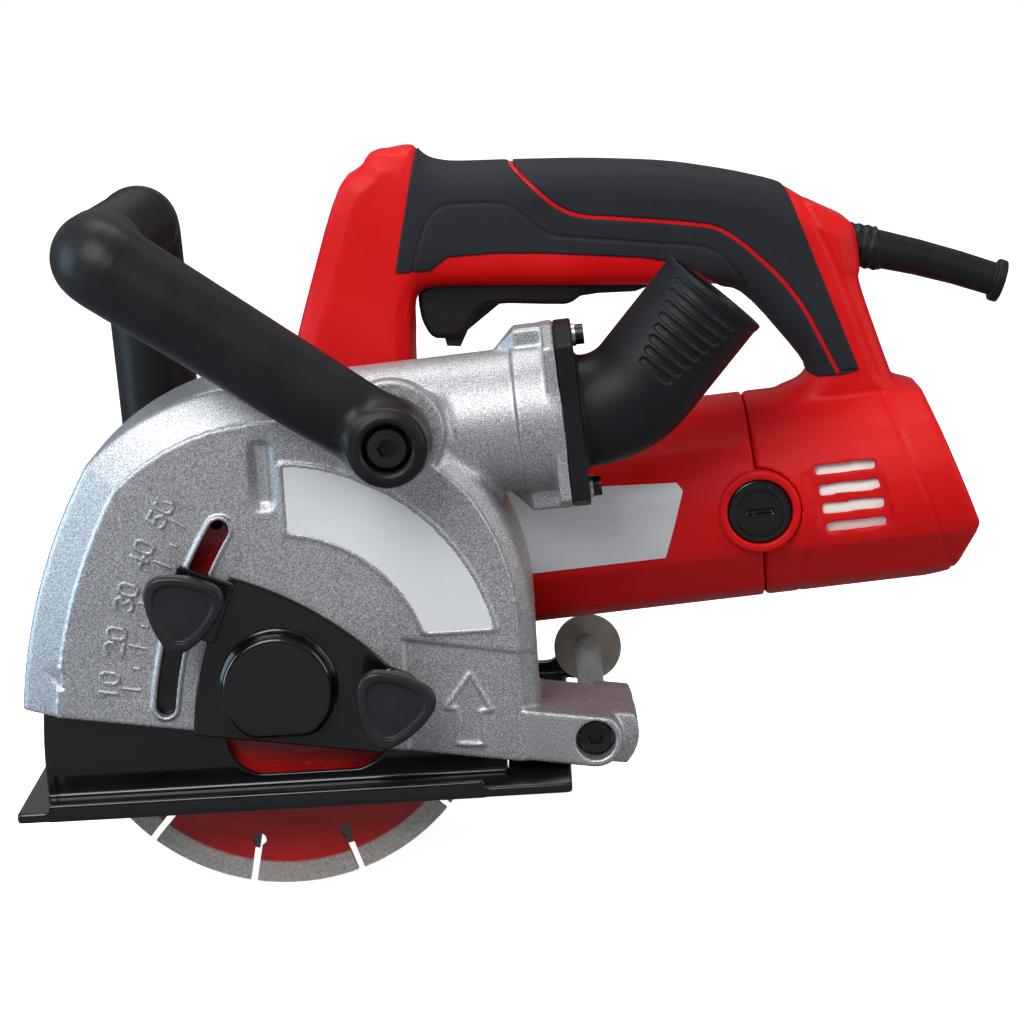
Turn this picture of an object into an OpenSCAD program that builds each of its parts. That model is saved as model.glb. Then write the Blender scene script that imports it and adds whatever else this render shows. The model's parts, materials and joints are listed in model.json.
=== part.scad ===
// Wall chaser: twin diamond discs in a cast guard that tilts on a sliding shoe.
// Origin under the disc axis on the sole; +X to the motor's end, +Y to the motor's side, +Z up.

/* [Discs] */
// Diameter of each diamond disc
disc_d = 150; // [125:1:180]
// Thickness of a disc at its segments
disc_t = 2.4; // [2:0.1:3]
// Distance between the middles of the two discs
disc_pitch = 38; // [30:1:46]
// Depth that the discs stand below the sole at rest
cut_depth = 35; // [28:1:38]
// Segments on each disc
segments = 12; // [10:1:16]
// Diameter of the spindle where the discs sit
spindle_d = 16; // [13:0.5:17]

/* [Guard] */
// Thickness of the guard casting
guard_wall = 3.5; // [2.8:0.1:4.2]
// Gap from a disc's middle to the guard's outer face
guard_side = 12; // [11.6:0.2:14]
// Gap from the disc edge to the dome's outer face
dome_gap = 13.5; // [12:0.5:16]
// Slope of the guard's open edge to the sole at rest, degrees
edge_slope = 9; // [9:0.1:11]
// Width of the depth slot
slot_w = 7; // [6.4:0.1:8.4]

/* [Hinge] */
// Gap from the disc edge to the hinge axis
hinge_gap = 34.5; // [33:0.5:41]
// Height of the hinge axis above the sole
hinge_z = 13.5; // [13:0.5:15]
// Diameter of the hinge pin
pin_d = 10; // [8:0.5:10.5]

/* [Shoe] */
// Thickness of the sole plate
sole_t = 3.5; // [2.8:0.1:3.5]
// Width of the sole outside the guard on its near side
sole_near = 16.5; // [12:0.5:24]
// Width of the sole outside the guard on its far side
sole_far = 87; // [84:1:104]
// Thickness of the shoe's upright walls
shoe_wall = 2.5; // [2:0.1:2.8]

/* [Knobs] */
// Circle through the knob's three corners
knob_r = 15.5; // [13:0.5:18]
// Diameter of the clamping screws
stud_d = 6; // [5:0.2:6.2]

/* [Motor] */
// Diameter of the motor barrel
motor_d = 77.6; // [72:0.2:92]
// Tilt of the motor axis to the sole at rest, degrees
tilt = 3.5; // [0:0.5:5]
// Distance along the axis from the spindle to the motor's front flange
motor_front = 62; // [60:1:66]
// Distance along the axis from the spindle to the motor seam
motor_seam = 175.2; // [170:0.2:184]
// Wall of the plastic housings
shell_wall = 3; // [2.2:0.1:3.4]

/* [Handles] */
// Diameter of the front handle's tube
bar_d = 31.6; // [27:0.2:34]
// Width of the rear handle's shells
grip_w = 35; // [32:0.5:40]
// Thickness of the soft grip pads
pad_t = 1.5; // [1:0.1:2]

/* [Dust duct] */
// Outer diameter of the dust elbow's bend
elbow_d = 40; // [34:0.2:44]
// Wall of the dust elbow
elbow_wall = 2.4; // [2:0.1:3]
// Outer radius of the cast duct
duct_r = 25.3; // [24:0.1:26.5]

/* [Gears] */
// Module of the spur pair
gear_m = 1; // [0.95:0.05:1]
// Teeth on the spindle gear
spindle_teeth = 30; // [28:1:30]
// Teeth on the intermediate shaft's spur gear
mid_teeth = 28; // [28:1:30]
// Teeth on the bevel wheel
wheel_teeth = 43; // [41:1:44]
// Teeth on the armature pinion
pinion_teeth = 9; // [9:1:10]
// Module of the bevel pair at its outer edge
bevel_m = 1.2; // [1.1:0.05:1.25]

/* [Cable entry] */
// Bore for the mains cable
cable_d = 8; // [6.5:0.1:9]
// Length of the strain relief outside the handle
sleeve_len = 57; // [45:1:66]

/* [Hidden] */
$fn = 64;
run = 0.04;          // running clearance, radial
gap = 0.3;           // clearance between pieces that pass each other
eps = 0.5;           // overrun of cuts
big = 300;           // larger than the part

disc_r = disc_d / 2;
spin_z = disc_r - cut_depth;
disc_y = disc_pitch / 2;
spindle_r = spindle_d / 2;

// guard
guard_y = disc_y + guard_side;
wall_in = guard_y - guard_wall;
near_face = -guard_y;
dome_r = disc_r + dome_gap;
dome_x = 0.5;
dome_z = spin_z + 16.3;
hinge_x = disc_r + hinge_gap;
front_r = hinge_x + disc_r + 16.5;
knuckle_r = 9.7;
arm_end_r = 15.5;
arm_top = 8.7;
arm_x = -23.5;
arm_far_y = guard_y + 3;
pin_r = pin_d / 2;
head_pocket = 10;

// depth slot: an arc about the hinge
slot_r = hinge_x + 41.7;
stud_a = 23.2;
slot_low = 8.1;
slot_high = 33.4;
stud_x = hinge_x - slot_r * cos(stud_a);
stud_z = hinge_z + slot_r * sin(stud_a);
stud_r = stud_d / 2;
knob_face = near_face - 21;
knob_base = near_face - 6.5;
knob_tip = 4.2;

// shoe
shoe_r = front_r - guard_wall - 3.2;
shoe_y = wall_in - 0.5;
shoe_in = shoe_y - shoe_wall;
shoe_a = 24;
sole_y0 = near_face - sole_near;
sole_y1 = guard_y + sole_far;
sole_x0 = -(disc_r + 18);
sole_x1 = hinge_x - 9.2;
open_x0 = -(disc_r + 5);
open_x1 = disc_r + 3;
window_x0 = -21.5;
window_x1 = 37;
window_z = 6.5;
ear_y0 = -12;
ear_t = 6;
ear_r = pin_r + 1.9;
far_ear_t = 5;
far_ear_y = sole_y1 - far_ear_t - 0.5;
far_ear_r = 12;

// service cover and its bulge
cover_t = 2.5;
cover_r = 41.6;
cover_arc = [-57, spin_z - 83, 130.5];   // centre and radius of the cover's upper edge
bulge_r = 20;
bulge_h = 9;
cover_knob_x = 40.4;
cover_knob_z = spin_z - 5.3;

// gears and gear room
gear_c = gear_m * (spindle_teeth + mid_teeth) / 2;
axis_z = spin_z + gear_c;
mesh = 0.1;
gear_y0 = guard_y + 7;
gear_t = 9;
wheel_r = bevel_m * wheel_teeth / 2;
pinion_r = bevel_m * pinion_teeth / 2;
cone_len = sqrt(wheel_r * wheel_r + pinion_r * pinion_r);
face_w = 8;
small = 1 - face_w / cone_len;
case_wall = 3;
case_r = wheel_r + 2.4 + case_wall;
spin_case_r = gear_m * spindle_teeth / 2 + 0.6 + case_wall;
spin_seat_y = gear_y0 + gear_t + 1;
spin_case_y = spin_seat_y + 8;
mid_r = 7;
journal_r = 5;
shaft_r = 6;
nose_r = 13;
mid_seat_r = 10;

// motor
motor_r = motor_d / 2;
motor_y = guard_y + motor_r + 0.2;
seat_r = motor_r - shell_wall;
case_far = motor_y + 30;
core_r = seat_r - 13;
stator_u = motor_front + 30;
core_len = 56;
brush_u = motor_seam;
comm_r = 12;
fan_r = seat_r - 9;
motor_screw_r = motor_r - 4.3;
nose_u = brush_u + 16;
brush_ring_r = 15.2;
brush_cap_r = 11.9;

// front handle
bar_r = bar_d / 2;
boss_y = near_face - 0.5;
bar_y = boss_y - bar_r;
leg_x = 45;
leg_z = axis_z + 57.8;
cross_x = -49.6;
cross_z = axis_z + 126;
far_bar_y = motor_y + 7;
far_leg_x = -47;
far_leg_z = axis_z + 36;
far_lug_y = far_bar_y - bar_r;
lug_t = 13;
bolt_r = 4;

// rear handle, in the motor's frame
grip_y = grip_w / 2;
grip_in = grip_y - shell_wall;
tongue_top = 17;
sleeve_u = 222.5;
sleeve_w = 88.4;
sleeve_drop = 20;
sleeve_r = 7.2;
pivot_u = 140;
pivot_w = 88;
trigger_y = 8;

// duct and elbow, in the motor's frame moved to the middle plane
duct_w = 50;
duct_end = 107.8;
duct_in = duct_r - guard_wall - 0.3;
screw_w = 27.3;
flange_edge = 5.3;
flange_y = 25.3;
flange_side = 27;
flange_ear = 7.5;
flange_t = 6.5;
elbow_r = elbow_d / 2;
elbow_in = elbow_r - elbow_wall;
elbow_bend = 45;
bend_r = 30;
bend_meet = 21.6;
elbow_reach = 52;

// places of repeated fasteners
case_screws = [for (a = [40, 135, 215, 320])
    [(case_r + 2.5) * cos(a), axis_z + (case_r + 2.5) * sin(a)]];
guard_posts = [
    [dome_x + (dome_r - 7.5) * cos(105), dome_z + (dome_r - 7.5) * sin(105)],
    [dome_x + (dome_r - 7.5) * cos(29), dome_z + (dome_r - 7.5) * sin(29)],
    [dome_x + dome_r - 7, spin_z + 5]];
handle_screw_places = [[20, motor_r + 9], [38, motor_r + 9], [47, 126], [178, 108], [222, 62], [232, -24]];

// ---------- helpers ----------

// Extrudes an X-Z outline between two Y planes.
module slab(y0, y1) {
    translate([0, y1, 0]) rotate([90, 0, 0]) linear_extrude(y1 - y0) children();
}

// A round bar along Y.
module bar_y(x, z, y0, y1, r) {
    translate([x, y0, z]) rotate([-90, 0, 0]) cylinder(r = r, h = y1 - y0);
}

// A ring along Y.
module ring_y(x, z, y0, y1, r, r_in) {
    difference() {
        bar_y(x, z, y0, y1, r);
        bar_y(x, z, y0 - eps, y1 + eps, r_in);
    }
}

// A round bar along X, in whichever frame it is used.
module bar_x(u0, u1, r) {
    translate([u0, 0, 0]) rotate([0, 90, 0]) cylinder(r = r, h = u1 - u0);
}

module ring_x(u0, u1, r, r_in) {
    difference() {
        bar_x(u0, u1, r);
        bar_x(u0 - eps, u1 + eps, r_in);
    }
}

// A hexagonal bar along Y; across is measured over the flats.
module hex_y(x, z, y0, y1, across) {
    translate([x, y0, z]) rotate([-90, 0, 0]) cylinder(r = across / sqrt(3), h = y1 - y0, $fn = 6);
}

// The motor's frame: +X along the motor axis, from the intermediate shaft.
module at_motor() {
    translate([0, motor_y, axis_z]) rotate([0, -tilt, 0]) children();
}

// The duct's frame: the motor's frame at the blades' middle plane, on the duct's axis.
module at_duct() {
    translate([0, 0, axis_z]) rotate([0, -tilt, 0]) translate([0, 0, duct_w]) children();
}

// A spoked outline: root circle with square teeth up to the tip radius.
module toothed(tip_r, root_r, teeth, bore_r) {
    step = 360 / teeth;
    difference() {
        polygon([for (k = [0 : teeth - 1], p = [[-0.27, root_r], [-0.16, tip_r], [0.16, tip_r], [0.27, root_r]])
            p[1] * [cos(step * (k + p[0])), sin(step * (k + p[0]))]]);
        circle(r = bore_r);
    }
}

// ---------- guard ----------

// Outline of the guard: front arc about the hinge, dome, sloping open edge.
module guard_area(inset = 0, open = 0) {
    intersection() {
        translate([hinge_x, hinge_z]) circle(r = front_r - inset);
        translate([hinge_x, hinge_z]) rotate(-edge_slope)
            translate([-big, -knuckle_r - open]) square(2 * big);
        union() {
            translate([dome_x, dome_z]) circle(r = dome_r - inset);
            translate([dome_x + dome_r - inset - big, dome_z - big]) square(big);
        }
    }
}

// Outline of the hinge arm, from the guard's rear wall to its rounded end.
module arm_area(end_r) {
    translate([hinge_x, hinge_z]) intersection() {
        rotate(-edge_slope) translate([arm_x, -knuckle_r]) square([end_r - arm_x, knuckle_r + arm_top]);
        union() {
            circle(r = end_r);
            translate([-big, -big / 2]) square(big);
        }
    }
}

// An arc slot about the hinge, between two angles above the -X direction.
module arc_slot(a0, a1, width) {
    span = a1 - a0;
    translate([hinge_x, hinge_z]) rotate(180 - a1) {
        intersection() {
            difference() {
                circle(r = slot_r + width / 2);
                circle(r = slot_r - width / 2);
            }
            polygon([[0, 0], [2 * slot_r, 0], 2 * slot_r * [cos(span), sin(span)]]);
        }
        for (a = [0, span]) rotate(a) translate([slot_r, 0]) circle(r = width / 2);
    }
}

// Opening behind the service cover.
module service_opening() {
    intersection() {
        translate([0, spin_z]) circle(r = cover_r - 7);
        translate([cover_arc[0], cover_arc[1]]) circle(r = cover_arc[2] - 5);
        translate([hinge_x, hinge_z]) circle(r = slot_r - 14);
        guard_area(4);
    }
}

// Eight-sided plate that joins the duct and the elbow, with an ear above and below.
module duct_plate(t) {
    top = screw_w + flange_edge;
    rotate([0, 90, 0]) linear_extrude(t)
        polygon([[flange_side, flange_y], [top, flange_ear], [top, -flange_ear], [flange_side, -flange_y],
            [-flange_side, -flange_y], [-top, -flange_ear], [-top, flange_ear], [-flange_side, flange_y]]);
}

// Repeats its children at the two screws of the duct plate.
module at_duct_screws() {
    for (w = [-screw_w, screw_w]) translate([0, 0, w]) rotate([0, 90, 0]) children();
}

module blade_guard() {
    boss_len = 18;
    color("silver") difference() {
        union() {
            difference() {
                union() {
                    slab(near_face, wall_in) guard_area();
                    slab(near_face, near_face + head_pocket) arm_area(knuckle_r);
                    slab(near_face + head_pocket, wall_in) arm_area(arm_end_r);
                    intersection() {
                        slab(wall_in - eps, arm_far_y) arm_area(arm_end_r);
                        translate([dome_x + dome_r + gap, 0, -big / 2]) cube(big);
                    }
                    slab(near_face - 1.5, near_face + 1) arc_slot(slot_low, slot_high, slot_w + 3.4);
                    bar_y(leg_x, leg_z, boss_y, near_face + 9, 18.5);
                    at_duct() bar_x(20, duct_end, duct_r);
                    at_duct() translate([duct_end - 4, 0, 0]) duct_plate(4);
                    at_duct() translate([duct_end - boss_len, 0, 0]) at_duct_screws()
                        cylinder(r = flange_edge, h = boss_len);
                }
                slab(-wall_in, wall_in + eps) guard_area(guard_wall, 30);
            }
            bar_y(leg_x, leg_z, boss_y, near_face + 9, 18.5);
            for (p = guard_posts) bar_y(p[0], p[1], wall_in - 14, wall_in, 4.5);
        }
        slab(near_face - 5, near_face + 5) arc_slot(slot_low, slot_high, slot_w);
        slab(near_face - eps, near_face + 5) service_opening();
        at_duct() bar_x(10, duct_end + eps, duct_in);
        at_duct() translate([duct_end - 13, 0, 0]) at_duct_screws() cylinder(r = 2 + run, h = 14);
        bar_y(leg_x, leg_z, boss_y - eps, near_face + 8, bolt_r + run);
        bar_y(cover_knob_x, cover_knob_z, near_face - eps, near_face + 5, stud_r);
        for (p = guard_posts) bar_y(p[0], p[1], wall_in - 12, wall_in + eps, 2 + run);
        bar_y(hinge_x, hinge_z, near_face - eps, near_face + head_pocket, 6.8);
        bar_y(hinge_x, hinge_z, near_face + head_pocket - eps, arm_far_y + eps, pin_r + run);
        slab(ear_y0 - gap, ear_y0 + ear_t + gap) translate([hinge_x, hinge_z]) rotate(-edge_slope)
            translate([arm_x + 2.5, -big]) square([big, big + ear_r + gap]);
    }
}

module guard_screws() {
    color("dimgray") for (p = guard_posts) {
        bar_y(p[0], p[1], wall_in - 11, guard_y, 2);
        bar_y(p[0], p[1], guard_y, guard_y + 2.4, 3.6);
    }
}

module guard_label() {
    color("gainsboro") slab(near_face - 0.4, near_face) intersection() {
        difference() {
            translate([0, spin_z]) circle(r = disc_r + 3.5);
            translate([0, spin_z]) circle(r = cover_r + 12.5);
        }
        translate([7, spin_z + 15.6]) square(big);
        difference() {
            translate([-big, -big]) square(2 * big);
            translate([leg_x, leg_z]) circle(r = 18.8);
        }
    }
}

// Outline of the service cover.
module cover_area() {
    intersection() {
        translate([hinge_x, hinge_z]) circle(r = slot_r - 10.2);
        union() {
            intersection() {
                translate([0, spin_z]) circle(r = cover_r + 2);
                translate([cover_arc[0], cover_arc[1]]) circle(r = cover_arc[2]);
            }
            translate([cover_knob_x, cover_knob_z]) circle(r = 10);
        }
        guard_area(0.4);
    }
}

// Round bulge over the spindle's end, cut flat along the bottom.
module bulge_area(inset) {
    translate([0, spin_z]) intersection() {
        circle(r = bulge_r - inset);
        translate([-bulge_r, -17 + inset]) square(2 * bulge_r);
    }
}

module service_cover() {
    skin = 2.2;
    color("#161719") difference() {
        union() {
            slab(near_face - cover_t, near_face) cover_area();
            slab(near_face - bulge_h, near_face - cover_t + 1) bulge_area(0);
        }
        slab(near_face - bulge_h + skin, near_face + eps) bulge_area(skin);
        bar_y(cover_knob_x, cover_knob_z, near_face - 5, near_face + 1, stud_r + run);
    }
}

// ---------- knobs ----------

// Three-cornered knob outline with round corners and straight sides.
module knob_area(inset = 0) {
    ring = knob_r - knob_tip;
    for (k = [0 : 2]) rotate(120 * k) translate([ring, 0]) circle(r = knob_tip - inset);
    polygon([for (k = [0 : 2], s = [-60, 60])
        ring * [cos(120 * k), sin(120 * k)]
            + (knob_tip - inset) * [cos(120 * k + s), sin(120 * k + s)]]);
}

module knob_body(x, z, turn) {
    head = 10;
    difference() {
        union() {
            slab(knob_face, knob_face + head) translate([x, z]) rotate(turn) knob_area();
            bar_y(x, z, knob_face + head - 1, knob_base, 7.5);
        }
        slab(knob_face - eps, knob_face + 1) translate([x, z]) rotate(turn) knob_area(2.2);
        bar_y(x, z, knob_face + 3, knob_base + eps, stud_r);
    }
}

module cover_knob() {
    color("#222326") knob_body(cover_knob_x, cover_knob_z, 9);
}

module cover_screw() {
    color("silver") bar_y(cover_knob_x, cover_knob_z, knob_face + 4, near_face + guard_wall - 0.1, stud_r - run);
}

module depth_knob() {
    color("#222326") knob_body(stud_x, stud_z, 17.5);
}

module depth_stud() {
    color("silver") {
        bar_y(stud_x, stud_z, knob_face + 4, -shoe_in, stud_r - run);
        bar_y(stud_x, stud_z, -shoe_in, -shoe_in + 2, stud_r + 2);
    }
}

module depth_pointer() {
    color("#18191b") difference() {
        slab(knob_base + gap, near_face - cover_t - gap) translate([stud_x, stud_z]) rotate(180 - stud_a)
            translate([-14, -11.4]) square([21, 22.8]);
        bar_y(stud_x, stud_z, knob_base - 1, near_face, stud_r);
    }
}

// ---------- gear housing ----------

// Round lug for the front handle's far foot, joined to the gear case.
module far_lug_area() {
    difference() {
        union() {
            translate([far_leg_x, far_leg_z]) circle(r = 11);
            translate([far_leg_x, far_leg_z])
                rotate(atan2(axis_z - far_leg_z, -far_leg_x)) translate([0, -11]) square([36, 22]);
        }
        translate([0, axis_z]) circle(r = case_r - 1);
    }
}

module gear_housing() {
    plate_t = 8;
    web = 20;
    color("silver") difference() {
        union() {
            slab(wall_in, guard_y) guard_area();
            bar_y(0, axis_z, guard_y - 1, case_far, case_r);
            bar_y(0, spin_z, guard_y - 1, spin_case_y, spin_case_r);
            at_motor() bar_x(0, motor_front, 30);
            at_motor() bar_x(motor_front - plate_t, motor_front, motor_r);
            at_motor() translate([-2, -grip_y, 20]) cube([motor_front - 2 - plate_t, grip_w, motor_r - 20]);
            at_motor() translate([10, -grip_in + 0.1, 20])
                cube([36, 2 * grip_in - 0.2, motor_r - 20 + tongue_top]);
            slab(far_lug_y - lug_t, far_lug_y) far_lug_area();
            for (p = case_screws) bar_y(p[0], p[1], case_far - 14, case_far, 4.5);
        }
        bar_y(0, axis_z, guard_y + 2, case_far + eps, case_r - case_wall);
        bar_y(0, spin_z, guard_y + 2, spin_seat_y, spin_case_r - case_wall);
        at_motor() bar_x(0, motor_front - web, 30 - case_wall);
        bar_y(0, spin_z, wall_in - eps, guard_y + 3, nose_r);
        bar_y(0, spin_z, spin_seat_y - eps, spin_seat_y + 5, 8.5);
        bar_y(0, axis_z, wall_in + 1.5, guard_y + 3, mid_seat_r);
        at_motor() bar_x(motor_front - web - 1, motor_front - 2, nose_r);
        at_motor() bar_x(motor_front - 3, motor_front + eps, 9);
        at_motor() for (k = [0 : 3]) rotate([45 + 90 * k, 0, 0]) translate([0, motor_screw_r, 0])
            bar_x(motor_front - plate_t - 1, motor_front + eps, 2 + run);
        at_motor() for (p = [handle_screw_places[0], handle_screw_places[1]])
            bar_y(p[0], p[1], -grip_y, grip_y, 2 + run);
        bar_y(far_leg_x, far_leg_z, far_lug_y - lug_t - 1, far_lug_y + eps, bolt_r + run);
        for (p = case_screws) bar_y(p[0], p[1], case_far - 10, case_far + eps, 2 + run);
        for (p = guard_posts) bar_y(p[0], p[1], wall_in - eps, guard_y + eps, 2 + run);
    }
}

module gear_case_cover() {
    t = 3;
    color("silver") difference() {
        union() {
            bar_y(0, axis_z, case_far, case_far + t, case_r);
            for (p = case_screws) bar_y(p[0], p[1], case_far, case_far + t, 4.5);
            bar_y(0, axis_z, case_far - 8, case_far + eps, mid_seat_r + 3);
        }
        bar_y(0, axis_z, case_far - 8 - eps, case_far, mid_seat_r);
        for (p = case_screws) bar_y(p[0], p[1], case_far - eps, case_far + t + eps, 2 + run);
    }
}

module gear_cover_screws() {
    t = 3;
    color("dimgray") for (p = case_screws) {
        bar_y(p[0], p[1], case_far - 9, case_far + t, 2);
        bar_y(p[0], p[1], case_far + t, case_far + t + 2.6, 3.6);
    }
}

module spindle_bearings() {
    color("silver") {
        ring_y(0, spin_z, wall_in + 0.5, guard_y + 2, nose_r, spindle_r);
        ring_y(0, spin_z, spin_seat_y, spin_seat_y + 4, 8.5, journal_r);
    }
}

module mid_bearings() {
    color("silver") {
        ring_y(0, axis_z, wall_in + 1.5, wall_in + 6.5, mid_seat_r, journal_r);
        ring_y(0, axis_z, case_far - 7, case_far - 1, mid_seat_r, journal_r);
    }
}

module armature_bearings() {
    color("silver") at_motor() {
        ring_x(motor_front - 11, motor_front - 3, nose_r, shaft_r);
        ring_x(nose_u + 2, nose_u + 9, 11, journal_r);
    }
}

// ---------- spindle group ----------

disc_in = disc_y - disc_t / 2;
disc_out = disc_y + disc_t / 2;
flange_t2 = 3.8;

module spindle() {
    color("silver") {
        bar_y(0, spin_z, -disc_out - flange_t2 - 9, guard_y + 2, spindle_r - run);
        bar_y(0, spin_z, disc_out + flange_t2, wall_in + 0.4, spindle_r + 2);
        bar_y(0, spin_z, guard_y + 2, gear_y0 + gear_t, spindle_r - run);
        bar_y(0, spin_z, gear_y0 + gear_t, spin_seat_y + 4, journal_r - run);
    }
}

// A flange that clamps a disc.
module disc_flange(y0) {
    ring_y(0, spin_z, y0, y0 + flange_t2, 17.5, spindle_r);
}

module inner_flange() {
    color("dimgray") disc_flange(disc_out);
}

module outer_flange() {
    color("dimgray") disc_flange(-disc_out - flange_t2);
}

module disc_spacer() {
    color("dimgray") ring_y(0, spin_z, -disc_in, disc_in, 16, spindle_r);
}

// Segmented diamond disc: a thin core and a thicker ring of segments.
module diamond_disc(y) {
    core_t = disc_t - 0.8;
    rim = 7.5;
    step = 360 / segments;
    turn = -101.8;
    difference() {
        union() {
            bar_y(0, spin_z, y - core_t / 2, y + core_t / 2, disc_r - 2);
            bar_y(0, spin_z, y - disc_t / 2, y + disc_t / 2, 20);
            ring_y(0, spin_z, y - disc_t / 2, y + disc_t / 2, disc_r, disc_r - rim);
        }
        bar_y(0, spin_z, y - disc_t, y + disc_t, spindle_r);
        slab(y - disc_t, y + disc_t) translate([0, spin_z]) for (k = [0 : segments - 1])
            rotate(turn + step * k) {
                translate([disc_r - 15, 0]) circle(r = 2.4);
                translate([disc_r - 15, -1.2]) square([20, 2.4]);
            }
    }
}

module near_disc() {
    color("firebrick") diamond_disc(-disc_y);
}

module far_disc() {
    color("firebrick") diamond_disc(disc_y);
}

module spindle_nut() {
    y1 = -disc_out - flange_t2;
    color("dimgray") difference() {
        hex_y(0, spin_z, y1 - 8, y1, 22);
        bar_y(0, spin_z, y1 - 9, y1 + eps, spindle_r);
    }
}

module spindle_gear() {
    r = gear_m * spindle_teeth / 2;
    color("gray") slab(gear_y0, gear_y0 + gear_t) translate([0, spin_z])
        toothed(r - mesh, r - 1.6 * gear_m, spindle_teeth, spindle_r);
}

module mid_shaft() {
    color("silver") {
        bar_y(0, axis_z, wall_in + 2, guard_y + 4, journal_r - run);
        bar_y(0, axis_z, guard_y + 4, case_far - 9, mid_r - run);
        bar_y(0, axis_z, case_far - 9, case_far - 1.5, journal_r - run);
    }
}

module mid_gear() {
    r = gear_m * mid_teeth / 2;
    color("gray") slab(gear_y0, gear_y0 + gear_t) translate([0, axis_z])
        toothed(r - mesh, r - 1.6 * gear_m, mid_teeth, mid_r);
}

module bevel_wheel() {
    back = 7;
    color("gray") difference() {
        translate([0, motor_y, axis_z]) rotate([90, 0, 0]) rotate_extrude()
            polygon([[mid_r, small * pinion_r + mesh], [small * wheel_r, small * pinion_r + mesh],
                [wheel_r, pinion_r + mesh], [wheel_r - 2, pinion_r + 4], [14, pinion_r + back],
                [mid_r, pinion_r + back]]);
        for (k = [0 : wheel_teeth - 1]) translate([0, motor_y, axis_z])
            rotate([0, (k + 0.5) * 360 / wheel_teeth, 0])
                translate([wheel_r - 3, -pinion_r - 3, -0.5]) cube([5, 8, 1]);
    }
}

// ---------- armature ----------

module armature_shaft() {
    color("silver") at_motor() {
        bar_x(small * wheel_r + 0.5, nose_u, shaft_r / 2 - run);
        bar_x(wheel_r + 6, nose_u, shaft_r - run);
        bar_x(nose_u, nose_u + 9, journal_r - run);
    }
}

module bevel_pinion() {
    hub_end = wheel_r + 6;
    color("gray") at_motor() difference() {
        rotate([0, 90, 0]) rotate_extrude()
            polygon([[shaft_r / 2, small * wheel_r], [small * pinion_r - mesh, small * wheel_r],
                [pinion_r - mesh, wheel_r], [pinion_r - mesh, hub_end], [shaft_r / 2, hub_end]]);
        for (k = [0 : pinion_teeth - 1]) rotate([360 / pinion_teeth * k, 0, 0])
            translate([small * wheel_r - 1, -0.7, pinion_r - 1.1]) cube([face_w + 6, 1.4, 5]);
    }
}

module armature_core() {
    color("dimgray") at_motor() ring_x(stator_u, stator_u + core_len, core_r - 0.7, shaft_r);
}

module commutator() {
    color("peru") at_motor() ring_x(brush_u - 11, brush_u + 11, comm_r, shaft_r);
}

module cooling_fan() {
    blades = 9;
    color("black") at_motor() translate([motor_front + 8, 0, 0]) difference() {
        union() {
            ring_x(0, 2, fan_r, shaft_r);
            ring_x(0, 10, 10, shaft_r);
            for (k = [0 : blades - 1]) rotate([360 / blades * k, 0, 0])
                translate([1, -0.8, 8]) cube([8, 1.6, fan_r - 9]);
        }
        bar_x(-eps, 10 + eps, shaft_r);
    }
}

// ---------- motor housing ----------

// Repeats its children at the two brushes, pointing outward.
module at_brushes() {
    for (turn = [0, 180]) rotate([turn, 0, 0]) translate([brush_u, 0, 0]) children();
}

module motor_housing() {
    color("#c41218") at_motor() difference() {
        union() {
            ring_x(motor_front, motor_seam, motor_r, seat_r);
            ring_x(motor_front, motor_front + 4, motor_r, fan_r);
            ring_x(motor_seam - 4, nose_u + 8, seat_r - 3, seat_r - 5.5);
            ring_x(motor_seam - 4, motor_seam, seat_r + 1, seat_r - 5.5);
            ring_x(nose_u + 2, nose_u + 9, seat_r - 3, 11);
            at_brushes() bar_y(0, 0, comm_r + 8, motor_r + 1, brush_ring_r);
            for (k = [0 : 3]) rotate([45 + 90 * k, 0, 0]) translate([0, motor_screw_r, 0])
                bar_x(motor_front, motor_front + 18, 3.9);
        }
        at_brushes() bar_y(0, 0, motor_r - 4, motor_r + 2, brush_cap_r + 0.1);
        at_brushes() bar_y(0, 0, comm_r + 7, motor_r - 3, 7);
        for (k = [0 : 3]) rotate([45 + 90 * k, 0, 0]) translate([0, motor_screw_r, 0])
            bar_x(motor_front - eps, motor_front + 16, 2 + run);
    }
}

module motor_screws() {
    head_u = motor_front - 8;
    color("dimgray") at_motor() for (k = [0 : 3]) rotate([45 + 90 * k, 0, 0])
        translate([0, motor_screw_r, 0]) {
            bar_x(head_u, motor_front + 15, 2);
            bar_x(head_u - 3, head_u, 3.6);
        }
}

module field_coil() {
    color("#8a4a20") at_motor() ring_x(stator_u, stator_u + core_len, seat_r - 0.1, core_r + 0.5);
}

module air_baffle() {
    color("ivory") at_motor() ring_x(nose_u + 2, nose_u + 34, seat_r - 0.2, seat_r - 1.8);
}

module motor_label() {
    color("gainsboro") difference() {
        at_motor() intersection() {
            ring_x(motor_front + 14, motor_seam - 27, motor_r + 0.4, motor_r);
            slab(-big, 0) polygon([[70, -13.3], [139, -13.4], [148, 11], [146, 14], [70, 18.9]]);
        }
        slab(-big, guard_y + eps) guard_area(-gap);
    }
}

module brush_holders() {
    color("goldenrod") at_motor() at_brushes() difference() {
        bar_y(0, 0, comm_r + 2, motor_r - 4.2, 6.9);
        bar_y(0, 0, comm_r + 1, motor_r - 4, 4.5);
    }
}

module carbon_brushes() {
    color("#303030") at_motor() at_brushes() bar_y(0, 0, comm_r + 0.05, comm_r + 15, 4.4);
}

module brush_caps() {
    color("#18191b") at_motor() at_brushes() difference() {
        bar_y(0, 0, motor_r - 4, motor_r - 0.2, brush_cap_r);
        translate([-5, motor_r - 1.4, -0.8]) cube([10, 3, 1.6]);
    }
}

// ---------- rear handle ----------

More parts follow.
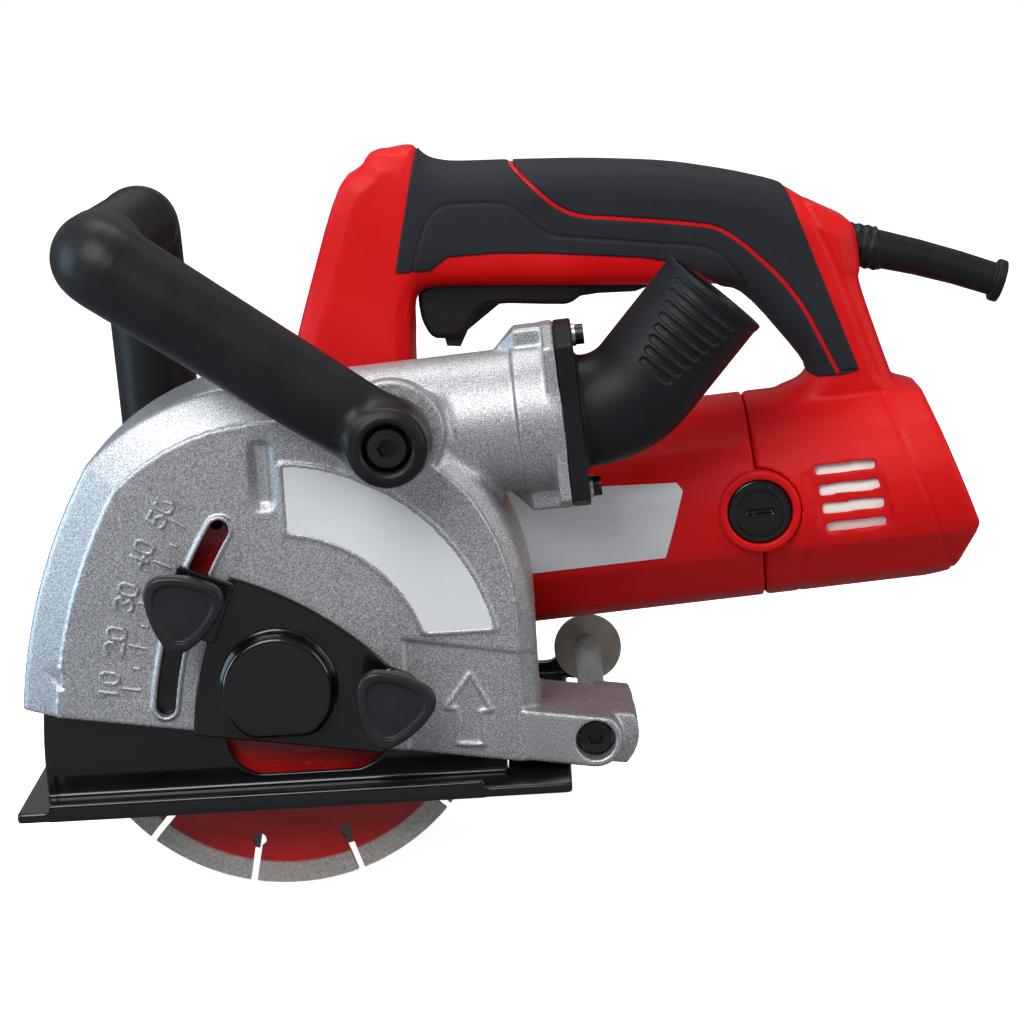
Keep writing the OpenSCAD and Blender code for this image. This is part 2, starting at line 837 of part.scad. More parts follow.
// Outline of the rear handle: post, grip and strut, down to the motor.
module handle_area() {
    polygon([[-4, motor_r], [12.6, 82.1], [34.8, 136.2], [44.3, 140.6], [47.1, 145.4], [63.6, 147.7],
        [77.1, 138.2], [96.7, 136.2], [127, 133.2], [157, 128.4], [179.6, 122], [198, 115.5],
        [207.3, 108.4], [213.3, 104.8], [221.8, 99.7], [223.5, 94.8], [223.7, 81.3], [222.2, 77.7],
        [230.8, 42.3], [233, motor_r - 1], [233, motor_r - 9], [motor_seam + 12, motor_r - 9],
        [motor_seam + 12, motor_r], [198, motor_r + 3], [201.5, motor_r + 7.5], [179.7, 78.5],
        [168, 81.5], [143.8, 83.5], [69.4, 92.5], [59.1, 91.9], [55.7, 68.5], [54, motor_r]]);
}

// The space inside the handle's shells.
module room_area() {
    polygon([[0, motor_r - 1], [50.5, motor_r - 1], [52.5, 68], [55.2, 95], [69, 95.6], [144, 86.8],
        [169, 84.8], [182, 81.5], [204.5, motor_r + 8], [204.5, motor_r - 3.5], [227, motor_r - 3.5],
        [219, 77], [219.5, 93], [217, 98], [211, 101], [196, 112],
        [178, 118.5], [157, 124.8], [127, 129.8], [96, 132.8], [76, 134.8], [63, 143.5], [49, 141.5],
        [46, 137.5], [37.5, 132.5]]);
}

// Side view of the motor's rear end, used to trim the barrel.
module tail_area(inset = 0) {
    polygon([[motor_seam, -big], [motor_seam, big], [234 - inset, big], [234 - inset, motor_r],
        [241.2 - inset, 34.2], [255.6 - inset, -14.6], [254.5 - inset, -18.4], [246 - inset, -35.7],
        [238 - inset, -motor_r], [238 - inset, -big]]);
}

// Inclined axis of the cable sleeve, starting at the handle's rear face.
module at_sleeve() {
    translate([sleeve_u, 0, sleeve_w]) rotate([0, sleeve_drop, 0]) children();
}

module handle_shell() {
    vents = 4;
    difference() {
        union() {
            slab(-grip_y, grip_y) handle_area();
            intersection() {
                bar_x(motor_seam + 0.05, 260, motor_r);
                slab(-big, big) tail_area();
            }
        }
        difference() {
            union() {
                slab(-grip_in, grip_in) room_area();
                intersection() {
                    bar_x(motor_seam - 1, 260, seat_r);
                    slab(-big, big) tail_area(shell_wall + 1);
                }
            }
            for (p = handle_screw_places) bar_y(p[0], p[1], -big, big, 5);
            slab(-grip_in - 1, grip_in + 1) translate([pivot_u, pivot_w]) circle(r = 5);
        }
        // slot under the grip that the trigger comes through
        translate([57, -trigger_y - gap, 60]) cube([pivot_u + 12 - 57, 2 * (trigger_y + gap), 40]);
        bar_y(pivot_u, pivot_w, -13, 13, 2.5 + run);
        // the gear housing's tongue stands in the foot of the post
        translate([9.9, -grip_in, motor_r - 1]) cube([36.2, 2 * grip_in, tongue_top + 1.1]);
        at_brushes() bar_y(0, 0, 0, big, brush_ring_r + 0.1);
        for (side = [-1, 1], k = [0 : vents - 1])
            translate([197 + 0.7 * k, side * (motor_r - 15) - 15, 10.5 - 7.2 * k]) cube([22, 30, 3.4]);
        for (p = handle_screw_places) {
            bar_y(p[0], p[1], -grip_in, grip_y + eps, 2 + run);
            bar_y(p[0], p[1], grip_in, big, 3.7);
        }
        at_sleeve() bar_x(-14, 10, sleeve_r + 0.1);
        at_sleeve() bar_x(-7.5, -4.5, sleeve_r + 2);
    }
}

module handle_left() {
    color("#c41218") at_motor() intersection() {
        handle_shell();
        translate([-big, -2 * big, -big]) cube(2 * big);
    }
}

module handle_right() {
    color("#c41218") at_motor() intersection() {
        handle_shell();
        translate([-big, 0, -big]) cube(2 * big);
    }
}

module handle_screws() {
    color("dimgray") at_motor() for (p = handle_screw_places) {
        bar_y(p[0], p[1], -grip_in + 1, grip_in, 2);
        bar_y(p[0], p[1], grip_in, grip_y - 0.4, 3.6);
    }
}

// A pad on each side of the handle.
module both_sides() {
    slab(-grip_y - pad_t, -grip_y) children();
    slab(grip_y, grip_y + pad_t) children();
}

module front_pads() {
    color("#2c2f36") at_motor() both_sides()
        polygon([[63.6, 146.5], [77.1, 138.2], [96.2, 136.2], [117.5, 113.5], [172, 101.5], [194.5, 76],
            [207.5, 46], [201.5, 46.7], [179.7, 79.3], [164.4, 91.5], [143, 98.7], [75.1, 103.9],
            [69.1, 101], [52.2, 100.8]]);
}

module rear_pads() {
    color("#2c2f36") at_motor() both_sides() intersection() {
        polygon([[99.5, 136.5], [127, 133.2], [157, 128.4], [179.6, 122], [198, 115.5], [218.7, 44.5],
            [211.5, 45.5], [197.8, 78.3], [174.2, 104.6], [120, 115.8]]);
        handle_area();
    }
}

module switch_unit() {
    color("dimgray") at_motor() translate([64, -10, 103]) cube([44, 20, 20]);
}

module trigger_spring() {
    color("silver") at_motor() translate([96, 0, 95.2]) difference() {
        cylinder(r = 3, h = 7.6);
        translate([0, 0, -eps]) cylinder(r = 2.2, h = 10);
    }
}

module trigger() {
    color("#1b1c1f") at_motor() {
        difference() {
            slab(-trigger_y, trigger_y) polygon([[60, 95], [59.4, 91.9], [59.7, 82.9], [62.3, 77.4],
                [73.4, 75.6], [76.6, 78.5], [79.6, 83.8], [85, 85.9], [112.8, 82], [118.8, 85.1], [145, 83.5], [145, 90], [138, 93], [104, 95]]);
            translate([62, -3.4, 60]) cube([33, 6.8, 32.5]);
            bar_y(90, 89, -6, 6, 1.5 + run);
        }
        bar_y(pivot_u, pivot_w, -12.8, 12.8, 2.5);
    }
}

module lock_off_lever() {
    color("#1b1c1f") at_motor() {
        slab(-3, 3) polygon([[66.5, 76], [67.5, 70], [72.5, 69.2], [76, 75], [93, 86], [93, 91.5], [87, 91.5], [74, 84]]);
        bar_y(90, 89, -5.9, 5.9, 1.5);
    }
}

module strain_relief() {
    end_r = 6.3;
    color("#1b1c1f") at_motor() at_sleeve() difference() {
        rotate([0, 90, 0]) rotate_extrude() polygon([[0, -12], [sleeve_r, -12], [sleeve_r, -7.4],
            [sleeve_r + 1.9, -7.4], [sleeve_r + 1.9, -4.6], [sleeve_r, -4.6], [sleeve_r, 12],
            [end_r, sleeve_len - 4], [end_r + 1.9, sleeve_len - 4], [end_r + 1.9, sleeve_len],
            [0, sleeve_len]]);
        bar_x(-13, sleeve_len + 1, cable_d / 2);
    }
}

module cord_clamp() {
    color("dimgray") at_motor() translate([188, -10, 96]) cube([8, 20, 5]);
}

// ---------- dust elbow ----------

// Path of the elbow: a short straight, a bend and the outlet.
module elbow_path(r, over) {
    tangent = bend_r * tan(elbow_bend / 2);
    collar = 0.4;
    bar_x(duct_end - over, duct_end + bend_meet - tangent + collar, r + collar);
    translate([duct_end + bend_meet - tangent, 0, bend_r]) {
        rotate([90, 0, 0]) rotate(-90) rotate_extrude(angle = elbow_bend) translate([bend_r, 0]) circle(r = r);
        translate([bend_r * sin(elbow_bend), 0, -bend_r * cos(elbow_bend)]) rotate([0, -elbow_bend, 0])
            bar_x(-collar, elbow_reach - tangent + over, r + collar / 2);
    }
}

module dust_elbow() {
    color("#1c1d20") at_duct() difference() {
        union() {
            elbow_path(elbow_r, 0);
            translate([duct_end, 0, 0]) duct_plate(flange_t);
        }
        elbow_path(elbow_in, eps);
        translate([duct_end - eps, 0, 0]) at_duct_screws() cylinder(r = 2 + run, h = flange_t + 1);
    }
}

module elbow_washers() {
    color("silver") at_duct() translate([duct_end + flange_t, 0, 0]) at_duct_screws() difference() {
        cylinder(r = 4, h = 1.2);
        translate([0, 0, -eps]) cylinder(r = 2 + run, h = 3);
    }
}

module elbow_screws() {
    grip = 12;
    color("#202124") at_duct() translate([duct_end - grip, 0, 0]) at_duct_screws() {
        cylinder(r = 2, h = grip + flange_t + 1.2);
        translate([0, 0, grip + flange_t + 1.2]) cylinder(r = 3.6, h = 3);
    }
}

// ---------- front handle ----------

module front_handle() {
    leg_len = sqrt(pow(leg_x - cross_x, 2) + pow(cross_z - leg_z, 2));
    leg_a = atan2(cross_x - leg_x, cross_z - leg_z);
    far_len = sqrt(pow(far_leg_x - cross_x, 2) + pow(cross_z - far_leg_z, 2));
    far_a = atan2(cross_x - far_leg_x, cross_z - far_leg_z);
    deep = 8.5;
    leg_r = bar_r - 0.3;
    corner_r = bar_r + 0.3;
    foot_r = bar_r + 0.6;
    color("#1d1e21") difference() {
        union() {
            bar_y(leg_x, leg_z, bar_y - bar_r, boss_y, foot_r);
            translate([leg_x, bar_y, leg_z]) rotate([0, leg_a, 0]) cylinder(r = leg_r, h = leg_len);
            translate([cross_x, bar_y, cross_z]) sphere(r = corner_r);
            bar_y(cross_x, cross_z, bar_y, far_bar_y, bar_r);
            translate([cross_x, far_bar_y, cross_z]) sphere(r = corner_r);
            translate([far_leg_x, far_bar_y, far_leg_z]) rotate([0, far_a, 0])
                cylinder(r = leg_r, h = far_len);
            bar_y(far_leg_x, far_leg_z, far_lug_y, far_bar_y + bar_r, foot_r);
        }
        bar_y(leg_x, leg_z, bar_y - bar_r - 1, bar_y - bar_r + deep, 8.3);
        bar_y(leg_x, leg_z, bar_y - bar_r, boss_y + eps, bolt_r + run);
        bar_y(far_leg_x, far_leg_z, far_bar_y + bar_r - deep, far_bar_y + bar_r + 1, 8.3);
        bar_y(far_leg_x, far_leg_z, far_lug_y - eps, far_bar_y + bar_r, bolt_r + run);
    }
}

// Cap screw along Y: its head lies on the side that dir points to.
module cap_screw_y(x, z, y_seat, y_tip, head_h, head_r, dir) {
    difference() {
        union() {
            bar_y(x, z, min(y_seat, y_tip), max(y_seat, y_tip), bolt_r);
            bar_y(x, z, min(y_seat, y_seat + dir * head_h), max(y_seat, y_seat + dir * head_h), head_r);
        }
        hex_y(x, z, min(y_seat + dir * 3, y_seat + dir * (head_h + 1)),
            max(y_seat + dir * 3, y_seat + dir * (head_h + 1)), 6);
    }
}

module handle_bolts() {
    deep = 8.5;
    color("#202124") {
        cap_screw_y(leg_x, leg_z, bar_y - bar_r + deep, near_face + 7.5, 7.5, 6.5, -1);
        cap_screw_y(far_leg_x, far_leg_z, far_bar_y + bar_r - deep, far_lug_y - lug_t, 7.5, 6.5, 1);
    }
}

// ---------- shoe and hinge ----------

// One upright side of the shoe, shared by both walls.
module shoe_side_area() {
    difference() {
        union() {
            intersection() {
                translate([hinge_x, hinge_z]) circle(r = shoe_r);
                translate([hinge_x, hinge_z]) rotate(180 - shoe_a) square(big);
                translate([-big, sole_t - 0.1]) square([big + open_x1, big]);
            }
            translate([stud_x, stud_z]) circle(r = 7.5);
        }
        translate([window_x0 + 8, window_z + 8]) circle(r = 8);
        translate([window_x1 - 8, window_z + 8]) circle(r = 8);
        translate([window_x0 + 8, window_z]) square([window_x1 - window_x0 - 16, big]);
        translate([window_x0, window_z + 8]) square([window_x1 - window_x0, big]);
    }
}

module base_shoe() {
    lip = 2.5;
    color("#141517") difference() {
        union() {
            translate([sole_x0, sole_y0, 0]) cube([sole_x1 - sole_x0, sole_y1 - sole_y0, sole_t]);
            translate([sole_x0 + 11, sole_y0, 0]) cube([152, 3, sole_t + lip]);
            slab(-shoe_y, -shoe_in) shoe_side_area();
            slab(shoe_in, shoe_y) shoe_side_area();
            intersection() {
                slab(-shoe_y, shoe_y) difference() {
                    translate([hinge_x, hinge_z]) circle(r = shoe_r);
                    translate([hinge_x, hinge_z]) circle(r = shoe_r - shoe_wall);
                }
                slab(-shoe_y, shoe_y) intersection() {
                    translate([hinge_x, hinge_z]) rotate(180 - shoe_a) square(big);
                    translate([-big, sole_t - 0.1]) square([big, big]);
                }
            }
            slab(ear_y0, ear_y0 + ear_t) ear_area(ear_r);
            slab(far_ear_y, far_ear_y + far_ear_t) ear_area(far_ear_r);
        }
        translate([open_x0, -shoe_in, -eps]) cube([open_x1 - open_x0, 2 * shoe_in, sole_t + 2 * eps]);
        bar_y(hinge_x, hinge_z, ear_y0 - eps, ear_y0 + ear_t + eps, pin_r + run);
        bar_y(hinge_x, hinge_z, far_ear_y - eps, far_ear_y + far_ear_t + eps, pin_r + run);
        bar_y(stud_x, stud_z, -shoe_y - eps, -shoe_in + eps, stud_r);
    }
}

// A hinge ear of the shoe, rising from the sole to the hinge axis.
module ear_area(r) {
    translate([hinge_x, hinge_z]) circle(r = r);
    intersection() {
        polygon([[hinge_x - 18.5, 0.2], [sole_x1, 0.2], [hinge_x + 0.3 * r, hinge_z - 0.95 * r],
            [hinge_x, hinge_z], [hinge_x - 0.6 * r, hinge_z + 0.8 * r], [hinge_x - 18.5, sole_t + 0.2]]);
        translate([0, 0.2]) square(big);
    }
}

module hinge_pin() {
    color("silver") difference() {
        bar_y(hinge_x, hinge_z, near_face + head_pocket, far_ear_y + far_ear_t + 9, pin_r);
        bar_y(hinge_x, hinge_z, near_face + head_pocket - eps, near_face + head_pocket + 12, 2.5);
    }
}

module hinge_screw() {
    seat = near_face + head_pocket;
    color("#202124") difference() {
        union() {
            bar_y(hinge_x, hinge_z, seat, seat + 11, 2.45);
            bar_y(hinge_x, hinge_z, seat - 4.6, seat, 5.6);
        }
        hex_y(hinge_x, hinge_z, seat - 6, seat - 2, 5);
    }
}

module hinge_washer() {
    color("#a89a84") ring_y(hinge_x, hinge_z, far_ear_y - 2.2, far_ear_y - 0.2, 13.3, pin_r);
}

module hinge_nut() {
    color("silver") difference() {
        hex_y(hinge_x, hinge_z, far_ear_y + far_ear_t + gap, far_ear_y + far_ear_t + 7.3, 17);
        bar_y(hinge_x, hinge_z, far_ear_y + far_ear_t, far_ear_y + far_ear_t + 8, pin_r);
    }
}

blade_guard();
guard_screws();
guard_label();
service_cover();
cover_screw();
cover_knob();
gear_housing();
gear_case_cover();
gear_cover_screws();
spindle_bearings();
mid_bearings();
armature_bearings();
spindle();
inner_flange();
far_disc();
disc_spacer();
near_disc();
outer_flange();
spindle_nut();
spindle_gear();
mid_shaft();
mid_gear();
bevel_wheel();
armature_shaft();
armature_core();
commutator();
cooling_fan();
bevel_pinion();
motor_housing();
motor_screws();
field_coil();
air_baffle();
motor_label();
brush_holders();
carbon_brushes();
brush_caps();
handle_left();
handle_right();
front_pads();
rear_pads();
handle_screws();
switch_unit();
trigger();
trigger_spring();
lock_off_lever();
strain_relief();
cord_clamp();
dust_elbow();
elbow_screws();
elbow_washers();
front_handle();
handle_bolts();
hinge_pin();
hinge_screw();
hinge_washer();
hinge_nut();
base_shoe();
depth_stud();
depth_pointer();
depth_knob();
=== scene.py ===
"""Looks of the wall chaser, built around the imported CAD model.

Shaped castings, mouldings and tubes are built as signed distance fields on a grid (in mm) and
meshed with OpenVDB. Turned, threaded and flat CAD parts keep their CAD mesh and get materials.
"""

import json
import math

import bpy
import numpy as np
import openvdb as vdb
from mathutils import Matrix, Vector


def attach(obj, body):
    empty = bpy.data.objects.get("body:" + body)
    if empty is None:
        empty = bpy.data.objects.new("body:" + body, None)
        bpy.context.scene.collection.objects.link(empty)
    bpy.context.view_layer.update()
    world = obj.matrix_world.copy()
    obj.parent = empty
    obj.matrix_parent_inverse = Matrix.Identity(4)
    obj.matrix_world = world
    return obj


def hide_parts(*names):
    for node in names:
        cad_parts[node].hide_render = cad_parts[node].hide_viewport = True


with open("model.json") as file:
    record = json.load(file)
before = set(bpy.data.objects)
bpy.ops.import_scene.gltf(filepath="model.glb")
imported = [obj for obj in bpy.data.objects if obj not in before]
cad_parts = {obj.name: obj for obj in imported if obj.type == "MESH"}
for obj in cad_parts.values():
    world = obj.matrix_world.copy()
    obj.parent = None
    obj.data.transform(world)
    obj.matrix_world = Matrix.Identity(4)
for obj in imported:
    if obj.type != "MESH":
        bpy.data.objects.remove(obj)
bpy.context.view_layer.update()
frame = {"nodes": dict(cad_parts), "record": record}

MM = 0.001

# ---------------------------------------------------------------- sizes, mm, from the CAD model
SPIN_Z = 40.0
HINGE = (109.5, 13.5)
AXIS_Z = 69.0
TILT = math.radians(3.5)
GUARD_Y = 31.0
MOTOR_Y = 70.0
MOTOR_R = 38.8
DUCT_W = 50.0
FRONT_R = 201.0
EDGE_A = math.radians(9)
DOME = (0.5, 56.3, 88.5)
DOME_SWELL = 1.4
SLOT_R = 151.2
STUD_A = 23.2
STUD = (HINGE[0] - SLOT_R * math.cos(math.radians(STUD_A)),
        HINGE[1] + SLOT_R * math.sin(math.radians(STUD_A)))
COVER_KNOB = (40.4, 34.7)
COVER_ARC = (-57, -43)
BAR_R = 15.8
NEAR_FOOT = (45.0, 126.8)
FAR_FOOT = (-47.0, 105.0)
DUCT_END = 107.8
SEAM_U = 175.2
FLOOR_Z = -35.2


# ---------------------------------------------------------------- distance fields
class Grid:
    """A box of sample points; x, y, z broadcast against each other."""

    def __init__(self, lo, hi, step):
        step = step * 1.0
        self.lo, self.step = np.array(lo, float), step
        n = [int(math.ceil((b - a) / step)) + 1 for a, b in zip(lo, hi)]
        ax = [(a + step * np.arange(k)).astype(np.float32) for a, k in zip(lo, n)]
        self.x = ax[0][:, None, None]
        self.y = ax[1][None, :, None]
        self.z = ax[2][None, None, :]

    @property
    def u(self):
        return self.x * math.cos(TILT) + (self.z - AXIS_Z) * math.sin(TILT)

    @property
    def w(self):
        return -self.x * math.sin(TILT) + (self.z - AXIS_Z) * math.cos(TILT)

    def mesh(self, name, d):
        """Turns a distance array into a mesh object, in metres."""
        shape = np.broadcast_shapes(d.shape, self.x.shape, self.y.shape, self.z.shape)
        full = np.array(np.broadcast_to(d, shape), dtype=np.float32)
        band = 3.0 * self.step
        for axis in range(3):
            edge = [slice(None)] * 3
            for k in (0, -1):
                edge[axis] = k
                full[tuple(edge)] = np.maximum(full[tuple(edge)], self.step)
        volume = vdb.FloatGrid(band)
        volume.copyFromArray(np.clip(full, -band, band))
        points, quads = volume.convertToQuads(0.0)
        points = (points * self.step + self.lo) * MM
        data = bpy.data.meshes.new(name)
        data.vertices.add(len(points))
        data.vertices.foreach_set("co", points.astype(np.float32).ravel())
        data.loops.add(4 * len(quads))
        data.loops.foreach_set("vertex_index", quads[:, ::-1].astype(np.int32).ravel())
        data.polygons.add(len(quads))
        data.polygons.foreach_set("loop_start", np.arange(0, 4 * len(quads), 4, dtype=np.int32))
        data.update(calc_edges=True)
        data.validate()
        data.shade_smooth()
        obj = bpy.data.objects.new(name, data)
        bpy.context.scene.collection.objects.link(obj)
        return obj


def join(a, b, k=0.0):
    """Union, with a blend of radius k."""
    if not k:
        return np.minimum(a, b)
    h = np.clip(0.5 + 0.5 * (b - a) / k, 0, 1)
    return b + (a - b) * h - k * h * (1 - h)


def both(a, b, k=0.0):
    """Intersection, with a blend of radius k."""
    return -join(-a, -b, k)


def cut(a, b, k=0.0):
    """a without b, with a blend of radius k."""
    return -join(-a, b, k)


def circle(p, q, r, x, z):
    return np.hypot(x - p, z - q) - r


def box2(x, z, x0, x1, z0, z1, r=0.0):
    dx = np.abs(x - (x0 + x1) / 2) - (x1 - x0) / 2 + r
    dz = np.abs(z - (z0 + z1) / 2) - (z1 - z0) / 2 + r
    return np.hypot(np.maximum(dx, 0), np.maximum(dz, 0)) + np.minimum(np.maximum(dx, dz), 0) - r


def polygon(x, z, pts):
    """Signed distance to a closed outline of straight sides."""
    x, z = np.broadcast_arrays(x, z)
    best = np.full(x.shape, 1e9, np.float32)
    inside = np.zeros(x.shape, bool)
    for (ax, az), (bx, bz) in zip(pts, pts[1:] + pts[:1]):
        ex, ez = bx - ax, bz - az
        t = np.clip(((x - ax) * ex + (z - az) * ez) / (ex * ex + ez * ez), 0, 1)
        best = np.minimum(best, (x - ax - t * ex) ** 2 + (z - az - t * ez) ** 2)
        if az != bz:
            crosses = ((az > z) != (bz > z)) & (x < (bx - ax) * (z - az) / (bz - az) + ax)
            inside ^= crosses
    return np.where(inside, -1, 1) * np.sqrt(best)


def stroke(x, z, pts):
    """Distance to a chain of line segments."""
    best = 1e9
    for (ax, az), (bx, bz) in zip(pts, pts[1:]):
        ex, ez = bx - ax, bz - az
        t = np.clip(((x - ax) * ex + (z - az) * ez) / (ex * ex + ez * ez), 0, 1)
        best = np.minimum(best, np.hypot(x - ax - t * ex, z - az - t * ez))
    return best


def curve(pts, rounds=2, closed=True, share=0.22):
    """Rounds the corners of an outline or a chain by cutting them."""
    for _ in range(rounds):
        ends = list(zip(pts, pts[1:] + pts[:1])) if closed else list(zip(pts, pts[1:]))
        new = [] if closed else [pts[0]]
        for (ax, az), (bx, bz) in ends:
            new.append((ax + (bx - ax) * share, az + (bz - az) * share))
            new.append((bx + (ax - bx) * share, bz + (az - bz) * share))
        pts = new if closed else new + [pts[-1]]
    return pts


def slab(d2, y, y0, y1, r=0.0):
    """Extrudes an X-Z field between two Y planes, with edges rounded to r."""
    dy = np.abs(y - (y0 + y1) / 2) - (y1 - y0) / 2 + r
    a = d2 + r
    return np.hypot(np.maximum(a, 0), np.maximum(dy, 0)) + np.minimum(np.maximum(a, dy), 0) - r


def tube(g, pts, radius):
    """Distance to a chain of round segments in space; radius may vary along it."""
    best = None
    radii = radius if isinstance(radius, list) else [radius] * len(pts)
    for (a, b, ra, rb) in zip(pts, pts[1:], radii, radii[1:]):
        e = np.array(b, float) - np.array(a, float)
        t = ((g.x - a[0]) * e[0] + (g.y - a[1]) * e[1] + (g.z - a[2]) * e[2]) / float(e @ e)
        t = np.clip(t, 0, 1).astype(np.float32)
        d = np.sqrt((g.x - a[0] - t * e[0]) ** 2 + (g.y - a[1] - t * e[1]) ** 2
                    + (g.z - a[2] - t * e[2]) ** 2) - (ra + t * (rb - ra))
        best = d if best is None else np.minimum(best, d)
    return best


def rounded_path(corners, radius, steps):
    """A path through corners, each turned into a curve that starts radius before it."""
    pts = [Vector(corners[0])]
    for a, b, c in zip(corners, corners[1:], corners[2:]):
        a, b, c = Vector(a), Vector(b), Vector(c)
        p = b + (a - b).normalized() * radius
        q = b + (c - b).normalized() * radius
        for k in range(steps + 1):
            t = k / steps
            pts.append(p * (1 - t) ** 2 + b * (2 * t * (1 - t)) + q * t * t)
    pts.append(Vector(corners[-1]))
    return [tuple(p) for p in pts]


# ---------------------------------------------------------------- materials
def material(name, colour, rough, metal=0.0, coat=0.0, specular=0.4):
    """A principled material; returns it with its tree, shader and a texture-coordinate socket."""
    m = bpy.data.materials.new(name)
    m.use_nodes = True
    tree = m.node_tree
    shader = tree.nodes["Principled BSDF"]
    shader.inputs["Base Color"].default_value = (*colour, 1)
    shader.inputs["Roughness"].default_value = rough
    shader.inputs["Metallic"].default_value = metal
    shader.inputs["Coat Weight"].default_value = coat
    shader.inputs["Coat Roughness"].default_value = 0.08
    shader.inputs["Specular IOR Level"].default_value = specular
    where = tree.nodes.new("ShaderNodeTexCoord").outputs["Object"]
    return m, tree, shader, where


def noise(tree, where, scale, detail=3.0, rough=0.6, stretch=None):
    """A noise factor; scale is in waves per metre."""
    if stretch:
        mapping = tree.nodes.new("ShaderNodeMapping")
        mapping.inputs["Scale"].default_value = stretch
        tree.links.new(where, mapping.inputs["Vector"])
        where = mapping.outputs["Vector"]
    n = tree.nodes.new("ShaderNodeTexNoise")
    n.inputs["Scale"].default_value = scale
    n.inputs["Detail"].default_value = detail
    n.inputs["Roughness"].default_value = rough
    tree.links.new(where, n.inputs["Vector"])
    return n.outputs["Fac"]


def ramp(tree, factor, stops):
    """A colour ramp over (position, colour) stops."""
    r = tree.nodes.new("ShaderNodeValToRGB")
    e = r.color_ramp.elements
    while len(e) < len(stops):
        e.new(0.5)
    for slot, (pos, col) in zip(e, stops):
        slot.position = pos
        slot.color = (*col, 1) if len(col) == 3 else col
    tree.links.new(factor, r.inputs["Fac"])
    return r.outputs["Color"]


def span(tree, factor, lo, hi, a=0.3, b=0.7):
    """Maps a..b of a factor to lo..hi."""
    n = tree.nodes.new("ShaderNodeMapRange")
    n.inputs["From Min"].default_value = a
    n.inputs["From Max"].default_value = b
    n.inputs["To Min"].default_value = lo
    n.inputs["To Max"].default_value = hi
    tree.links.new(factor, n.inputs["Value"])
    return n.outputs["Result"]


def mix(tree, factor, a, b):
    """Colour a where the factor is 0, b where it is 1."""
    n = tree.nodes.new("ShaderNodeMix")
    n.data_type = "RGBA"
    for socket, value in (("Factor_Float", factor), ("A_Color", a), ("B_Color", b)):
        target = next(i for i in n.inputs if i.identifier == socket)
        if isinstance(value, bpy.types.NodeSocket):
            tree.links.new(value, target)
        else:
            target.default_value = value if isinstance(value, float) else (*value, 1)
    return next(o for o in n.outputs if o.identifier == "Result_Color")


def bump(tree, shader, height, distance, strength):
    n = tree.nodes.new("ShaderNodeBump")
    n.inputs["Strength"].default_value = strength
    n.inputs["Distance"].default_value = distance
    tree.links.new(height, n.inputs["Height"])
    tree.links.new(n.outputs["Normal"], shader.inputs["Normal"])


def painted_edge_highlight(tree):
    """Mask for painted edge highlights: white on sharp outward edges, black elsewhere."""
    geometry = tree.nodes.new("ShaderNodeNewGeometry")
    return span(tree, geometry.outputs["Pointiness"], 0.0, 1.0, 0.51, 0.58)


def cast_silver():
    m, t, s, p = material("cast_silver", (0.5, 0.5, 0.52), 0.36, metal=0.85)
    flakes = noise(t, p, 2300, 4, 0.8)
    clouds = noise(t, p, 55, 3)
    base = ramp(t, flakes,
                [(0.38, (0.15, 0.155, 0.165)), (0.5, (0.42, 0.425, 0.44)), (0.61, (0.82, 0.825, 0.84))])
    base = mix(t, span(t, clouds, 0.0, 0.2), base, (0.30, 0.31, 0.33))
    # painted highlight: sharp outward edges are lightened to pale silver
    base = mix(t, painted_edge_highlight(t), base, (0.80, 0.81, 0.83))
    t.links.new(base, s.inputs["Base Color"])
    t.links.new(span(t, flakes, 0.36, 0.56), s.inputs["Roughness"])
    bump(t, s, flakes, 0.00012, 0.5)
    return m


def moulded(name, colour, light, rough, grain, depth, coat=0.0, highlight_share=0.5, specular=0.2):
    """Moulded plastic: slight tone drift, fine grain, and edges lightened towards the lighter tone as painted
    highlights.
    """
    m, t, s, p = material(name, colour, rough, coat=coat, specular=specular)
    drift = noise(t, p, 30, 4)
    fine = noise(t, p, grain, 2, 0.7)
    base = mix(t, span(t, drift, 0.0, 0.35), colour, light)
    # painted highlight: sharp outward edges are mixed towards the lighter tone
    edge = t.nodes.new("ShaderNodeMath")
    edge.operation = "MULTIPLY"
    t.links.new(painted_edge_highlight(t), edge.inputs[0])
    edge.inputs[1].default_value = highlight_share
    base = mix(t, edge.outputs[0], base, light)
    t.links.new(base, s.inputs["Base Color"])
    t.links.new(span(t, drift, rough - 0.05, rough + 0.07), s.inputs["Roughness"])
    bump(t, s, fine, depth, 0.6)
    return m


def metal(name, colour, dark, rough, stretch=(1, 1, 1), scale=160, warm=None):
    """Machined or plated metal with fine directional marks."""
    m, t, s, p = material(name, colour, rough, metal=1.0)
    marks = noise(t, p, scale, 5, 0.7, stretch)
    base = mix(t, span(t, marks, 0.0, 0.7), colour, dark)
    if warm:
        base = mix(t, span(t, noise(t, p, 90, 3), 0.0, 0.6), base, warm)
    t.links.new(base, s.inputs["Base Color"])
    t.links.new(span(t, marks, rough - 0.07, rough + 0.12), s.inputs["Roughness"])
    bump(t, s, marks, 0.00008, 0.4)
    return m


